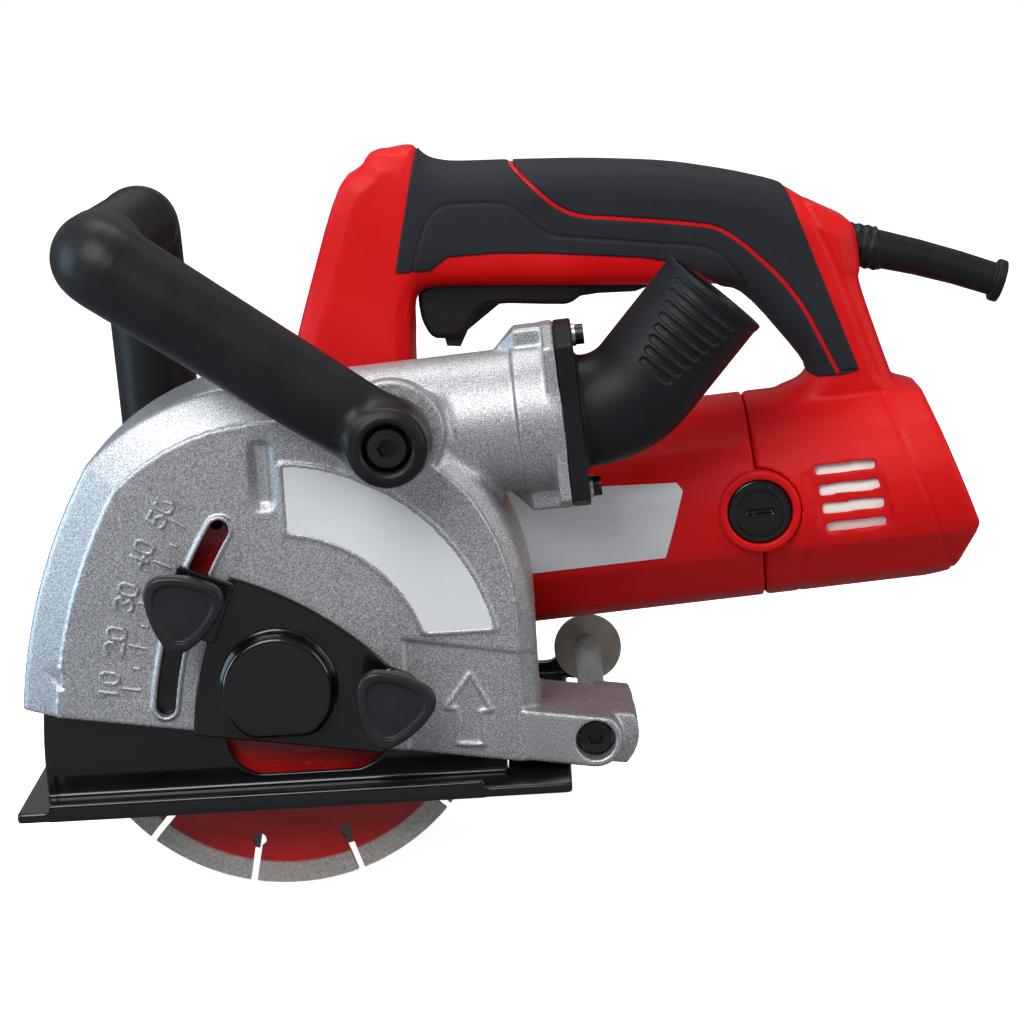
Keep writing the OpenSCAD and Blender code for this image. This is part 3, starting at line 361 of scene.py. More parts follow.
def polar(tree, where, centre_z):
    """Radius and angle about the spindle, for marks that run round a disc."""
    split = tree.nodes.new("ShaderNodeSeparateXYZ")
    tree.links.new(where, split.inputs[0])
    z = tree.nodes.new("ShaderNodeMath")
    z.operation = "SUBTRACT"
    tree.links.new(split.outputs["Z"], z.inputs[0])
    z.inputs[1].default_value = centre_z
    flat = tree.nodes.new("ShaderNodeCombineXYZ")
    tree.links.new(split.outputs["X"], flat.inputs[0])
    tree.links.new(z.outputs[0], flat.inputs[1])
    length = tree.nodes.new("ShaderNodeVectorMath")
    length.operation = "LENGTH"
    tree.links.new(flat.outputs[0], length.inputs[0])
    angle = tree.nodes.new("ShaderNodeMath")
    angle.operation = "ARCTAN2"
    tree.links.new(z.outputs[0], angle.inputs[0])
    tree.links.new(split.outputs["X"], angle.inputs[1])
    ring = tree.nodes.new("ShaderNodeCombineXYZ")
    tree.links.new(length.outputs["Value"], ring.inputs[0])
    tree.links.new(angle.outputs[0], ring.inputs[1])
    return length.outputs["Value"], ring.outputs[0]


def disc_material():
    """Red painted core with streaks, grey-tan diamond segments at the rim."""
    m, t, s, p = material("disc_paint", (0.55, 0.01, 0.01), 0.3, coat=0.25)
    radius, ring = polar(t, p, SPIN_Z * MM)
    streaks = noise(t, ring, 1, 4, 0.7, (900, 1.6, 1))
    scuffs = noise(t, ring, 1, 5, 0.75, (260, 9, 1))
    red = mix(t, span(t, streaks, 0.0, 0.8), (0.62, 0.012, 0.010), (0.36, 0.004, 0.004))
    red = mix(t, span(t, scuffs, 0.0, 0.35, 0.58, 0.8), red, (0.75, 0.30, 0.24))
    grit = noise(t, p, 900, 4, 0.8)
    seg = ramp(t, grit, [(0.3, (0.20, 0.19, 0.18)), (0.5, (0.45, 0.43, 0.40)), (0.7, (0.72, 0.69, 0.65))])
    seg = mix(t, span(t, streaks, 0.0, 0.6), seg, (0.66, 0.55, 0.50))
    rim = span(t, radius, 0.0, 1.0, 0.0672, 0.0678)
    t.links.new(mix(t, rim, red, seg), s.inputs["Base Color"])
    t.links.new(span(t, rim, 0.3, 0.55, 0, 1), s.inputs["Roughness"])
    t.links.new(span(t, rim, 0.0, 0.55, 0, 1), s.inputs["Metallic"])
    bump(t, s, mix(t, rim, streaks, grit), 0.00025, 0.5)
    return m


def label_material():
    m, t, s, p = material("label", (0.72, 0.73, 0.75), 0.34, metal=0.25)
    brushed = noise(t, p, 220, 3, 0.6, (1, 1, 14))
    base = mix(t, span(t, brushed, 0.0, 0.5), (0.80, 0.81, 0.83), (0.70, 0.71, 0.73))
    t.links.new(base, s.inputs["Base Color"])
    t.links.new(span(t, brushed, 0.28, 0.42), s.inputs["Roughness"])
    return m


MATERIALS = {
    "cast_silver": cast_silver(),
    "red_plastic": moulded("red_plastic", (0.60, 0.0025, 0.004), (0.78, 0.012, 0.012), 0.42, 2400, 0.00016),
    "grip_rubber": moulded("grip_rubber", (0.013, 0.014, 0.018), (0.030, 0.032, 0.040), 0.60, 2000, 0.0002,
                           highlight_share=0.6),
    "black_plastic": moulded("black_plastic", (0.007, 0.007, 0.008), (0.024, 0.025, 0.028),
                             0.38, 2000, 0.00008),
    "knob_plastic": moulded("knob_plastic", (0.010, 0.0105, 0.012), (0.040, 0.042, 0.048),
                            0.36, 1500, 0.00006, coat=0.1),
    "black_gloss": moulded("black_gloss", (0.003, 0.003, 0.0035), (0.010, 0.010, 0.011), 0.20, 500, 0.00007,
                           coat=0.6, highlight_share=1.0),
    "black_rubber": moulded("black_rubber", (0.006, 0.0065, 0.008), (0.016, 0.017, 0.021),
                            0.44, 1500, 0.00022),
    "ivory_plastic": moulded("ivory_plastic", (0.86, 0.83, 0.79), (0.93, 0.91, 0.88), 0.5, 1200, 0.00006),
    "carbon": moulded("carbon", (0.03, 0.03, 0.03), (0.06, 0.06, 0.06), 0.6, 1500, 0.0001),
    "black_steel": metal("black_steel", (0.06, 0.06, 0.065), (0.02, 0.02, 0.022), 0.34),
    "zinc_steel": metal("zinc_steel", (0.72, 0.73, 0.72), (0.42, 0.43, 0.44), 0.30,
                        (1, 0.15, 1), 240, (0.60, 0.66, 0.66)),
    "washer_steel": metal("washer_steel", (0.60, 0.56, 0.50), (0.36, 0.32, 0.28), 0.36,
                          (1, 1, 1), 200, (0.50, 0.38, 0.28)),
    "steel": metal("steel", (0.60, 0.60, 0.61), (0.35, 0.35, 0.36), 0.30),
    "copper": metal("copper", (0.70, 0.30, 0.14), (0.35, 0.12, 0.05), 0.35),
    "brass": metal("brass", (0.78, 0.60, 0.28), (0.45, 0.32, 0.12), 0.32),
    "disc_paint": disc_material(),
    "label": label_material(),
}
SLOT_OF = {r["node"]: r["material_slot"] for r in frame["record"]["subparts"]}
BODY_OF = {n: b for b, nodes in frame["record"]["behaviour"]["bodies"].items() for n in nodes}


def dress(obj, name):
    obj.data.materials.clear()
    obj.data.materials.append(MATERIALS[name])


def place(obj, node, look=None):
    """Makes obj stand for a CAD node: its body, its slot and its material."""
    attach(obj, BODY_OF[node])
    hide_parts(node)
    dress(obj, look or SLOT_OF[node])
    return obj


# every CAD node starts with its slot's material; pieces below replace the shaped ones
for node_name, node_obj in frame["nodes"].items():
    dress(node_obj, SLOT_OF[node_name])
dress(frame["nodes"]["hinge_washer"], "washer_steel")

# ---------------------------------------------------------------- shaped pieces
def edge_drop(x, z):
    """Height above the guard's sloping open edge, mm, zero on the hinge line."""
    return (x - HINGE[0]) * math.sin(EDGE_A) + (z - HINGE[1]) * math.cos(EDGE_A)


def dome_area(x, z):
    """The guard's side outline: an arc about the hinge, a dome and a straight rear edge."""
    radius = DOME[2] + DOME_SWELL
    dome = join(circle(*DOME[:2], radius, x, z), np.maximum(x - DOME[0] - radius, z - DOME[1]))
    return np.maximum(circle(*HINGE, FRONT_R + DOME_SWELL, x, z), dome)


def arc_slot(x, z, a0, a1):
    """Distance to the middle line of an arc slot about the hinge."""
    pts = [(HINGE[0] - SLOT_R * math.cos(math.radians(a0 + (a1 - a0) * k / 12)),
            HINGE[1] + SLOT_R * math.sin(math.radians(a0 + (a1 - a0) * k / 12))) for k in range(13)]
    return stroke(x, z, pts)


def ridge(d, half, height):
    """A rounded ridge where d is near zero."""
    return height * np.clip(1 - (np.abs(d) / half) ** 2, 0, 1)


def label_area(x, z):
    """The arched recess of the guard's label."""
    ring = np.maximum(circle(0, SPIN_Z, 78.5, x, z), -circle(0, SPIN_Z, 54.1, x, z))
    return both(both(ring, 6.0 - x, 2), 55.7 - z, 2)


def duct_plate(g, u0, u1, r=0.8):
    return slab(polygon(g.y, g.w - DUCT_W, FLANGE) - 1.0, g.u, u0, u1, r)


FLANGE = [(24.3, 26.5), (7, 31.6), (-7, 31.6), (-24.3, 26.5),
          (-24.3, -26.5), (-7, -31.6), (7, -31.6), (24.3, -26.5)]


def make_guard():
    g = Grid((-95, -34, -14), (127, 36, 164), 0.7)
    x, y, z = g.x, g.y, g.z
    area = dome_area(x, z)
    band = np.interp(x, [25, 70], [13.0, 5.6]).astype(np.float32)
    depth = np.clip(1 + area / band, 0, 1)
    relief = -0.8 * np.clip((band + area + 0.8) / 0.8, 0, 1) * (depth > 0) - 6.4 * depth
    slot = arc_slot(x, z, 8.1, 33.4)
    relief = relief + 1.4 * np.clip((5.4 - slot) / 0.9, 0, 1)
    label = label_area(x, z)
    relief = relief + ridge(label, 1.3, 0.8) - 0.5 * (label < -0.6)
    arrow = polygon(x, z, [(60.5, 15), (70.3, 14.4), (69.6, 26.5), (73.6, 26.6), (66.8, 40),
                           (57.8, 28.4), (61.6, 27.8)])
    relief = relief + ridge(arrow, 1.0, 0.7)
    step = (z - 53.6) + (x - 48.5) * 0.18
    relief = relief - 0.9 * np.clip(-step / 1.2, 0, 1) * (x > 44) * (arrow > -30)
    groove = box2(x, z, -4.5, 3.5, 102.6, 127, 3.0)
    relief = relief - 2.4 * np.clip((0.6 - groove) / 3.0, 0, 1)
    front = -(y + GUARD_Y) - relief
    shell = both(area, front, 2.0)
    cavity = np.maximum(np.maximum(area + 3.5, -(y + 27.5) + 5.4 * depth), y - 40)
    hz = edge_drop(x, z)
    tip = circle(*HINGE, 9.7, x, z)
    shell = both(shell, -hz - 10.3, 0.8)
    shell = np.maximum(shell, y - 27.5)
    # hinge arm: a near knuckle and three stepped ribs behind it
    arm_low = np.maximum(np.abs(hz + 0.5) - 9.2, -(x - 84))
    end = circle(*HINGE, 15.5, x, z)
    beyond = (x - HINGE[0]) * math.cos(EDGE_A) - (z - HINGE[1]) * math.sin(EDGE_A)
    round_end = np.where(beyond > 0, end, -1)
    ribs = np.maximum(arm_low, round_end)
    near = np.maximum(arm_low, np.where(beyond > 0, tip, -1))
    arm = slab(near, y, -31.0, -20.0, 1.6)
    for y0, y1, back in ((-22, 4, 0.0), (4, 23, 1.2), (23, 34, 2.4)):
        arm = join(arm, slab(np.maximum(ribs + back * 0.5, hz - 8.7 + back), y, y0 + 0.4, y1 - 0.4, 1.4), 0.5)
    arm = np.maximum(arm, np.where(x < 89.3, y - 27.5, -1))
    guard = join(shell, arm, 1.0)
    boss = slab(circle(*NEAR_FOOT, 18.5, x, z), y, -31.5, -22, 1.0)
    guard = join(guard, boss, 4.0)
    round_y = np.hypot(y, g.w - DUCT_W)
    duct = slab(round_y - 25.3, g.u, 20, DUCT_END, 0.5)
    collar = slab(round_y - 26.8, g.u, 92, DUCT_END, 0.8)
    duct = join(join(duct, collar, 0.8), duct_plate(g, 103.6, DUCT_END), 1.5)
    taper = np.clip(94 - g.u, 0, 12) * 0.9
    lug = box2(y, np.abs(g.w - DUCT_W), -7.5, 7.5, 15, 32.6, 1.5) + taper
    duct = join(duct, slab(lug, g.u, 84, DUCT_END, 1.0), 1.0)
    guard = join(guard, duct, 5.0)
    cavity = np.maximum(cavity, -hz - 60)
    bosses = 1e3
    for a in (105, 29):
        t = math.radians(a)
        post = circle(DOME[0] + 81 * math.cos(t), DOME[1] + 81 * math.sin(t), 4.5, x, z)
        bosses = join(bosses, post)
    cavity = np.maximum(cavity, -np.maximum(bosses, 13.5 - y))
    cavity = np.maximum(cavity, -np.maximum(circle(*NEAR_FOOT, 18.5, x, z), y + 22))
    guard = cut(guard, cavity, 0.6)
    guard = cut(guard, np.maximum(slot - 3.5, y + 24), 0.4)
    opening = np.maximum(circle(0, SPIN_Z, 34.6, x, z), circle(*HINGE, 137.2, x, z))
    wall = np.maximum(np.maximum(y + 25, circle(*COVER_ARC, 125.5, x, z)), -5.7 - hz)
    guard = cut(guard, np.maximum(opening, wall))
    guard = cut(guard, slab(round_y - 21.5, g.u, 10, 120), 0.5)
    guard = cut(guard, np.maximum(circle(*NEAR_FOOT, 4.1, x, z), y + 22.5))
    guard = cut(guard, np.maximum(tip + 2.7, y + 21), 0.8)
    guard = cut(guard, circle(*HINGE, 5.1, x, z))
    ear_room = np.maximum(np.maximum(np.abs(y + 9) - 3.4, 88.7 - x), hz - 7.3)
    guard = cut(guard, ear_room, 0.3)
    return place(g.mesh("guard_casting", guard), "blade_guard")


DIGITS = {
    "0": [(.15, 0), (.45, 0), (.6, .2), (.6, .8), (.45, 1), (.15, 1), (0, .8), (0, .2), (.15, 0)],
    "1": [(.08, .78), (.32, 1), (.32, 0)],
    "2": [(0, .8), (.15, 1), (.45, 1), (.6, .8), (.6, .62), (0, 0), (.62, 0)],
    "3": [(0, .86), (.2, 1), (.45, 1), (.6, .77), (.28, .54), (.6, .28), (.45, 0), (.15, 0), (0, .14)],
    "4": [(.45, 0), (.45, 1), (0, .3), (.64, .3)],
    "5": [(.58, 1), (.06, 1), (0, .56), (.35, .63), (.6, .35), (.48, .05), (.15, 0), (0, .12)],
}


def make_scale():
    """Raised ticks and numbers of the depth scale, running up beside the slot."""
    g = Grid((-68, -32.4, 22), (-28, -30.2, 108), 0.3)
    d = 1e3
    for n in range(9):
        a = math.radians(10.0 + 2.71 * n)
        r0, r1 = (160.5, 166.5) if n % 2 == 0 else (161.5, 163.5)
        ray = (-math.cos(a), math.sin(a))
        tick = [(HINGE[0] + r * ray[0], HINGE[1] + r * ray[1]) for r in (r0, r1)]
        d = join(d, stroke(g.x, g.z, tick) - 0.55)
        if n % 2:
            continue
        along = (math.sin(a), math.cos(a))
        for k, digit in enumerate("%d0" % (n // 2 + 1)):
            pts = []
            for px, pz in DIGITS[digit]:
                s, r = (px - 0.68 + 0.88 * k) * 6.2, 168.5 + pz * 6.2
                pts.append((HINGE[0] + r * ray[0] + s * along[0], HINGE[1] + r * ray[1] + s * along[1]))
            d = join(d, stroke(g.x, g.z, pts) - 0.75)
    obj = g.mesh("depth_scale", slab(d, g.y, -31.9, -30.6, 0.5))
    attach(obj, "machine")
    dress(obj, "cast_silver")


def make_front_handle():
    g = Grid((-69, -66, 86), (65, 97, 214), 0.55)
    y_near, y_far = -47.3, 77.0
    near, far = (NEAR_FOOT[0], y_near, NEAR_FOOT[1]), (FAR_FOOT[0], y_far, FAR_FOOT[1])
    path = rounded_path([near, (-49.6, y_near, 194.6), (-49.6, y_far, 194.6), far], 7, 6)
    bar = tube(g, path, [13.6] + [15.4] * 7 + [BAR_R - 0.8] * (len(path) - 8))
    ribbed = np.clip((46 - np.abs(g.y - 18.5)) * 0.6, 0, 1) * np.clip((g.z - 172) * 0.3, 0, 1)
    bar = bar + ribbed * (0.4 + 1.5 * np.sin(g.y * (math.pi / 3.6)) ** 2)
    end = slab(circle(*NEAR_FOOT, 13.8, g.x, g.z), g.y, -63.4, -31.5, 3.0)
    foot = slab(circle(*FAR_FOOT, 16.4, g.x, g.z), g.y, 61.2, 92.8, 3.0)
    d = join(join(bar, end, 5.0), foot, 5.0)
    d = cut(d, slab(circle(*NEAR_FOOT, 8.3, g.x, g.z), g.y, -70, -54.6), 1.2)
    d = d - 0.5 * np.clip(1 - (circle(*NEAR_FOOT, 10.2, g.x, g.z) / 1.2) ** 2, 0, 1) * (g.y < -60)
    d = cut(d, slab(circle(*FAR_FOOT, 8.3, g.x, g.z), g.y, 84.3, 102), 1.2)
    for at, y0, y1 in ((NEAR_FOOT, -60, -25), (FAR_FOOT, 52, 90)):
        d = cut(d, slab(circle(*at, 4.2, g.x, g.z), g.y, y0, y1))
    place(g.mesh("front_grip", d), "front_handle")


# outlines in the motor's frame, u along the motor and w above it
HANDLE = [(-4, 36.8), (12.6, 82.1), (34.8, 136.2), (44.3, 140.6), (47.1, 145.4), (63.8, 146.9),
          (66.4, 142.4), (69.8, 139.7), (77.1, 137.5), (96.7, 135.8), (127, 132.8), (157, 128.2),
          (179.6, 122), (198, 115.5), (207.3, 108.4), (213.3, 104.8), (221.8, 99.7), (223.5, 94.8),
          (223.7, 81.3), (222.2, 77.7), (230.8, 42.3), (233, 36), (233, 30), (189, 30), (189, 38.8),
          (198, 42), (201.5, 46.3), (179.7, 78.5), (168, 81.5), (143.8, 83.5), (69.4, 92.5),
          (59.1, 91.9), (55.7, 68.5), (54, 36.8)]
ROOM = [(0, 38), (50.5, 38), (52.5, 68), (55.2, 95), (69, 95.6), (144, 86.8), (169, 84.8), (182, 81.5),
        (204.5, 46.8), (204.5, 35.3), (227, 35.3), (219, 77), (219.5, 93), (217, 98), (211, 101), (196, 112),
        (178, 118.5), (157, 124.8), (127, 129.8), (96, 132.8), (76, 134.8), (63, 143.5), (49, 141.5),
        (46, 137.5), (37.5, 132.5)]
TAIL = [(175.3, -60), (175.3, 60), (234, 60), (234, 38.8), (241.2, 34.2), (255.6, -14.6), (254.5, -18.4),
        (246, -35.7), (238, -38.8), (238, -60)]
PADS = [(68, 153), (80, 143.5), (100, 142), (128, 139), (158, 134.5), (181, 128), (202, 121),
        (198.6, 115.5), (218.7, 44.5), (213, 43.5), (203, 43.5), (197, 45.5), (179, 70), (174, 78),
        (167.3, 84.2), (163.4, 87.7),
        (159.4, 90.6), (151, 93.5), (142.7, 95.7), (108.4, 101.4), (90.2, 103.6), (72.5, 104.4), (67.8, 101.7),
        (65.1, 99.9), (52.3, 100.6), (55.8, 113), (59.2, 124.5), (62.4, 135.6)]
PAD_SPLIT = curve([(95.5, 139.5), (97.9, 137.1), (107, 125.5), (113.6, 118.6), (118.7, 115.2), (124, 113.2),
                   (134.2, 111.5), (158, 107), (175, 103), (198, 77), (210.5, 45)], 2, False)
PAD_GROOVE = curve([(58.1, 98), (61.6, 108.7), (65.9, 118), (70.5, 122.6), (74.9, 123.8), (93.7, 122.1),
                    (98.4, 119.8), (107.9, 109.8), (111.6, 107.6), (123, 105.4), (149.6, 100.1), (165, 97.4),
                    (170.7, 94.7), (175, 89.8), (179.2, 83), (183, 76)], 1, False)


def handle_form(g):
    """Outer form of the rear handle without the barrel; thinner towards its outline."""
    area = polygon(g.u, g.w, curve(HANDLE, 2, share=0.2)) + 0.4
    bevel = np.clip((60 - g.u) / 8, 0, 1) + np.clip((g.u - 200) / 8, 0, 1)
    side = np.abs(g.y - MOTOR_Y) - 17.5 + 0.5 * np.clip(7.0 + area, 0, 7) * bevel
    grip = both(area, side, 13.0)
    return grip + (both(area, side, 2.5) - grip) * np.clip(bevel, 0, 1)


def facets(w, y):
    """The two flats on each side of the motor barrel."""
    return np.maximum(np.abs(y) * 0.77 - w * 0.64 - 37.6, np.abs(y) * 0.64 + w * 0.77 - 38.0)


def make_handle():
    g = Grid((-13, 29, 26), (262, 111, 228), 0.85)
    u, w, y = g.u, g.w, g.y - MOTOR_Y
    form = handle_form(g)
    # stepped bands down the strut, behind the rear pad
    bands = stroke(u, w, [(203.5, 112), (212.5, 88), (224.5, 42)])
    form = form + ridge(bands, 1.4, 0.9) * (np.abs(y) > 8)
    barrel = np.hypot(y, w) - MOTOR_R
    tail = polygon(u, w, TAIL)
    facet = facets(w, y)
    shell = both(np.maximum(barrel, facet), tail, 2.5)
    shell = shell + ridge(u - 236 + 0.28 * w, 1.0, 0.7) + ridge(u - 192 - 0.1 * w, 0.9, 0.5) * (w < 12)
    body = join(form, shell, 3.0)
    hollow = join(np.maximum(polygon(u, w, ROOM), np.abs(y) - 14.8),
                  np.maximum(np.maximum(barrel + 2.7, tail + 4), -1))
    body = cut(body, np.maximum(hollow, body + 2.4))
    body = cut(body, np.maximum(box2(u, w, 57, 152, 60, 100), np.abs(y) - 8.3), 0.5)
    tongue = box2(u, w, 9.9, 46.1, 37.8, 56)
    body = cut(body, np.maximum(tongue, np.abs(y) - 14.8))
    body = cut(body, np.maximum(circle(SEAM_U, 0, 15.35, u, w), 5 - np.abs(y)), 0.4)
    # vents in a shallow bevelled recess
    recess = box2(u - (10.5 - w) * 0.1, w, 194.3, 221.5, -16.3, 16.2, 2.5)
    body = cut(body, both(recess, 36.9 - np.abs(y), 1.0), 0.8)
    for k in range(4):
        vent = box2(u - 0.7 * k, w + 7.2 * k, 197, 219, 10.5, 13.9, 0.8)
        body = cut(body, np.maximum(vent, 20 - np.abs(y)), 0.4)
    for pu, pw in ((20, 47.8), (38, 47.8), (47, 126), (178, 108), (222, 62), (232, -24)):
        body = cut(body, np.maximum(circle(pu, pw, 3.8, u, w), 14.5 - y), 0.4)
    lean = math.radians(20)
    hole = np.hypot(y, (u - 222.5) * math.sin(lean) + (w - 88.4) * math.cos(lean)) - 7.4
    body = cut(body, np.maximum(hole, 208 - u))
    left = both(body, y + 0.12, 0.5)
    right = both(body, 0.12 - y, 0.5)
    place(g.mesh("handle_shell_near", left), "handle_left")
    place(g.mesh("handle_shell_far", right), "handle_right")


def make_pads():
    g = Grid((38, 48, 108), (222, 92, 232), 0.5)
    u, w = g.u, g.w
    form = handle_form(g)
    ground = -form - 0.6
    pads = both(form - 0.7, polygon(u, w, PADS), 0.8)
    split = stroke(u, w, PAD_SPLIT)
    above = polygon(u, w, PAD_SPLIT + [(225, 45), (240, 150), (96, 160)])
    groove = ridge(stroke(u, w, PAD_GROOVE), 0.8, 0.45) * (np.abs(g.y - MOTOR_Y) > 9)
    under = np.maximum(np.maximum(np.abs(g.y - MOTOR_Y) - 12, w - 115), u - 160)
    for name, node, part in (("front_pad", "front_pads", -above), ("rear_pad", "rear_pads", above)):
        pad = both(both(pads, part, 0.4), 0.7 - split, 0.4) + (groove if name == "front_pad" else 0)
        place(g.mesh(name, cut(np.maximum(pad, ground), under)), node)


def make_motor():
    g = Grid((54, 29, 26), (194, 111, 122), 0.8)
    u, w, y = g.u, g.w, g.y - MOTOR_Y
    barrel = np.hypot(y, w) - MOTOR_R
    facet = facets(w, y)
    body = slab(np.maximum(barrel, facet), u, 62.1, 175.0, 0.8)
    body = cut(body, np.maximum(barrel + 2.8, np.abs(u - 120) - 54))
    ring = slab(circle(SEAM_U, 0, 15.2, u, w), np.abs(y), 18, 39.9, 1.3)
    body = join(body, ring, 0.6)
    body = cut(body, np.maximum(circle(SEAM_U, 0, 12.0, u, w), 34.8 - np.abs(y)), 0.4)
    body = body + ridge(circle(SEAM_U, 0, 13.6, u, w), 0.5, 0.3) * (np.abs(y) > 38)
    place(g.mesh("motor_barrel", body), "motor_housing")


def make_brush_caps():
    g = Grid((160, 27, 62), (190, 113, 96), 0.45)
    u, w, y = g.u, g.w, np.abs(g.y - MOTOR_Y)
    cap = slab(circle(SEAM_U, 0, 11.8, u, w), y, 34.9, 38.9, 0.9)
    cap = cap + 0.8 * np.clip(0.5 - np.abs(circle(SEAM_U, 0, 8.6, u, w)), 0, 1) * (y > 37)
    cap = cut(cap, np.maximum(box2(u - SEAM_U, w, -5, 5, -0.9, 0.9, 0.6), 37.2 - y), 0.3)
    place(g.mesh("brush_cap_pair", cap), "brush_caps", "black_gloss")


def make_elbow():
    g = Grid((96, -34, 84), (192, 34, 186), 0.42)
    u, w = g.u - DUCT_END, g.w - DUCT_W
    bend = math.radians(45)
    radius, corner, leg = 30, 21.6, 52
    t = radius * math.tan(bend / 2)
    pts = [(-0.5, 0.0)]
    for k in range(13):
        a = bend * k / 12
        pts.append((corner - t + radius * math.sin(a), radius - radius * math.cos(a)))
    pts.append((corner + leg * math.cos(bend), leg * math.sin(bend)))
    near = stroke(u, w, pts)
    run = np.hypot(near, g.y)
    axis_end = (u - pts[-1][0]) * math.cos(bend) + (w - pts[-1][1]) * math.sin(bend)
    outer = np.maximum(np.maximum(run - 19.9, axis_end), -u)
    stadiums = 1e3
    for k in range(8):
        f = k / 7
        a = (146.7 + (133.6 - 146.7) * f, 171.2 + (144.8 - 171.2) * f)
        b = (165.3 + (141.6 - 165.3) * f, 154.8 + (137.7 - 154.8) * f)
        stadiums = np.minimum(stadiums, stroke(g.x, g.z, [a, b]) - 1.35)
    outer = both(outer, axis_end, 1.0) + 0.6 * np.clip(0.5 - stadiums / 0.5, 0, 1) * (g.y < 0)
    lip = np.maximum(np.maximum(run - 20.3, axis_end), -axis_end - 2.2)
    d = join(outer, lip, 0.5)
    d = join(d, duct_plate(g, 107.9, 114.3, 0.9), 2.0)
    d = cut(d, np.maximum(run - 17.8, -u - 3), 0.4)
    d = cut(d, np.maximum(np.hypot(g.y, np.abs(w) - 27.3) - 2.1, u - 8))
    place(g.mesh("dust_hose_elbow", d), "dust_elbow")


def make_cover():
    g = Grid((-45, -42, 0), (56, -29, 88), 0.45)
    x, z = g.x, g.z
    area = np.maximum(circle(*COVER_ARC, 130.5, x, z), circle(0, SPIN_Z, 43.5, x, z))
    area = join(area, circle(*COVER_KNOB, 9, x, z), 3)
    area = both(np.maximum(area, circle(*HINGE, 141, x, z)), -edge_drop(x, z) - 11.2, 1.0)
    d = slab(area, g.y, -33.5, -31.0, 0.8)
    bulge = both(circle(0, SPIN_Z, 20, x, z), SPIN_Z - 17 - z, 2)
    d = join(d, slab(bulge + np.clip(-33.5 - g.y, 0, 9) * 0.12, g.y, -40, -31.5, 1.6), 1.6)
    d = join(d, slab(circle(*COVER_KNOB, 9.0, x, z), g.y, -36.3, -31.5, 0.8), 1.2)
    d = cut(d, circle(*COVER_KNOB, 3.1, x, z))
    d = cut(d, slab(bulge + 2.2, g.y, -37.8, -28))
    place(g.mesh("service_lid", d), "service_cover")


def make_knob(name, node, at, turn):
    g = Grid((at[0] - 18, -53, at[1] - 18), (at[0] + 18, -36.5, at[1] + 18), 0.35)
    area = None
    for k in range(3):
        a = math.radians(turn + 60 + 120 * k)
        side = circle(at[0] - 22.3 * math.cos(a), at[1] - 22.3 * math.sin(a), 34.0, g.x, g.z)
        area = side if area is None else both(area, side, 6.0)
    swell = np.clip(g.y + 47, 0, 5) * 0.35
    d = slab(area + swell, g.y, -52, -42, 1.4)
    d = cut(d, both(area + 3.0, g.y + 50.6, 0.5), 0.6)
    d = join(d, slab(circle(*at, 7.5, g.x, g.z), g.y, -43, -37.5, 0.6), 1.5)
    d = cut(d, np.maximum(circle(*at, 3.1, g.x, g.z), -g.y - 49))
    place(g.mesh(name, d), node, "knob_plastic")


def make_pointer():
    g = Grid((STUD[0] - 22, -38, STUD[1] - 22), (STUD[0] + 22, -32.6, STUD[1] + 22), 0.4)
    a = math.radians(180 - STUD_A)
    dx, dz = g.x - STUD[0], g.z - STUD[1]
    s, t = dx * math.cos(a) + dz * math.sin(a), -dx * math.sin(a) + dz * math.cos(a)
    d = slab(box2(s, t, -14, 7, -11.4, 11.4, 1.2), g.y, -36.0, -33.8, 0.5)
    d = join(d, slab(box2(s, t, -14, 7, -11.4, -9.2, 0.8), g.y, -37.2, -33.8, 0.5), 0.5)
    d = cut(d, circle(*STUD, 3.05, g.x, g.z))
    place(g.mesh("pointer_plate", d), "depth_pointer")


def make_shoe():
    g = Grid((-96, -50, -2), (104, 120, 99), 0.7)
    x, y, z = g.x, g.y, g.z
    arc = circle(*HINGE, 194.3, x, z)
    sole = slab(box2(x, y, -93, 100.3, -47.5, 118, 2.0), z, 0, 3.5, 0.7)
    lip = slab(box2(x, z, -82, 70, 0, 6.0, 0.9), y, -47.5, -44.7, 0.7)
    sole = join(sole, lip, 0.8)
    ray = math.radians(24)
    top = (x - HINGE[0]) * math.sin(ray) + (z - HINGE[1]) * math.cos(ray)
    side = np.maximum(np.maximum(arc, top), np.maximum(x - 78, 1 - z))
    side = join(side, circle(*STUD, 7.5, x, z), 2.0)
    side = cut(side, box2(x, z, -20.5, 37, 7.4, 200, 14.0), 1.0)
    walls = slab(side, np.abs(y), 24.5, 27.0, 0.6)
    front = np.maximum(np.maximum(np.abs(arc + 1.25) - 1.25, top), np.maximum(np.abs(y) - 27, 1 - z))
    front = np.maximum(front, x - 0)
    d = join(join(sole, walls, 1.2), front, 1.2)
    d = cut(d, slab(box2(x, y, -80, 78, -24.5, 24.5, 3), z, -5, 4.0), 0.3)
    for y0, y1, r in ((-12, -6, 6.9), (112.5, 117.5, 12)):
        ear = join(circle(*HINGE, r, x, z), box2(x, z, HINGE[0] - 28, HINGE[0] + r * 0.7, 1.5, 8, 1), 6)
        d = join(d, slab(np.maximum(ear, np.maximum(x - HINGE[0] - r, 0.2 - z)), y, y0, y1, 0.6), 0.8)
    d = cut(d, circle(*HINGE, 5.1, x, z))
    d = cut(d, np.maximum(circle(*STUD, 3.05, x, z), np.abs(y + 26) - 4))
    place(g.mesh("shoe_pressing", d), "base_shoe")


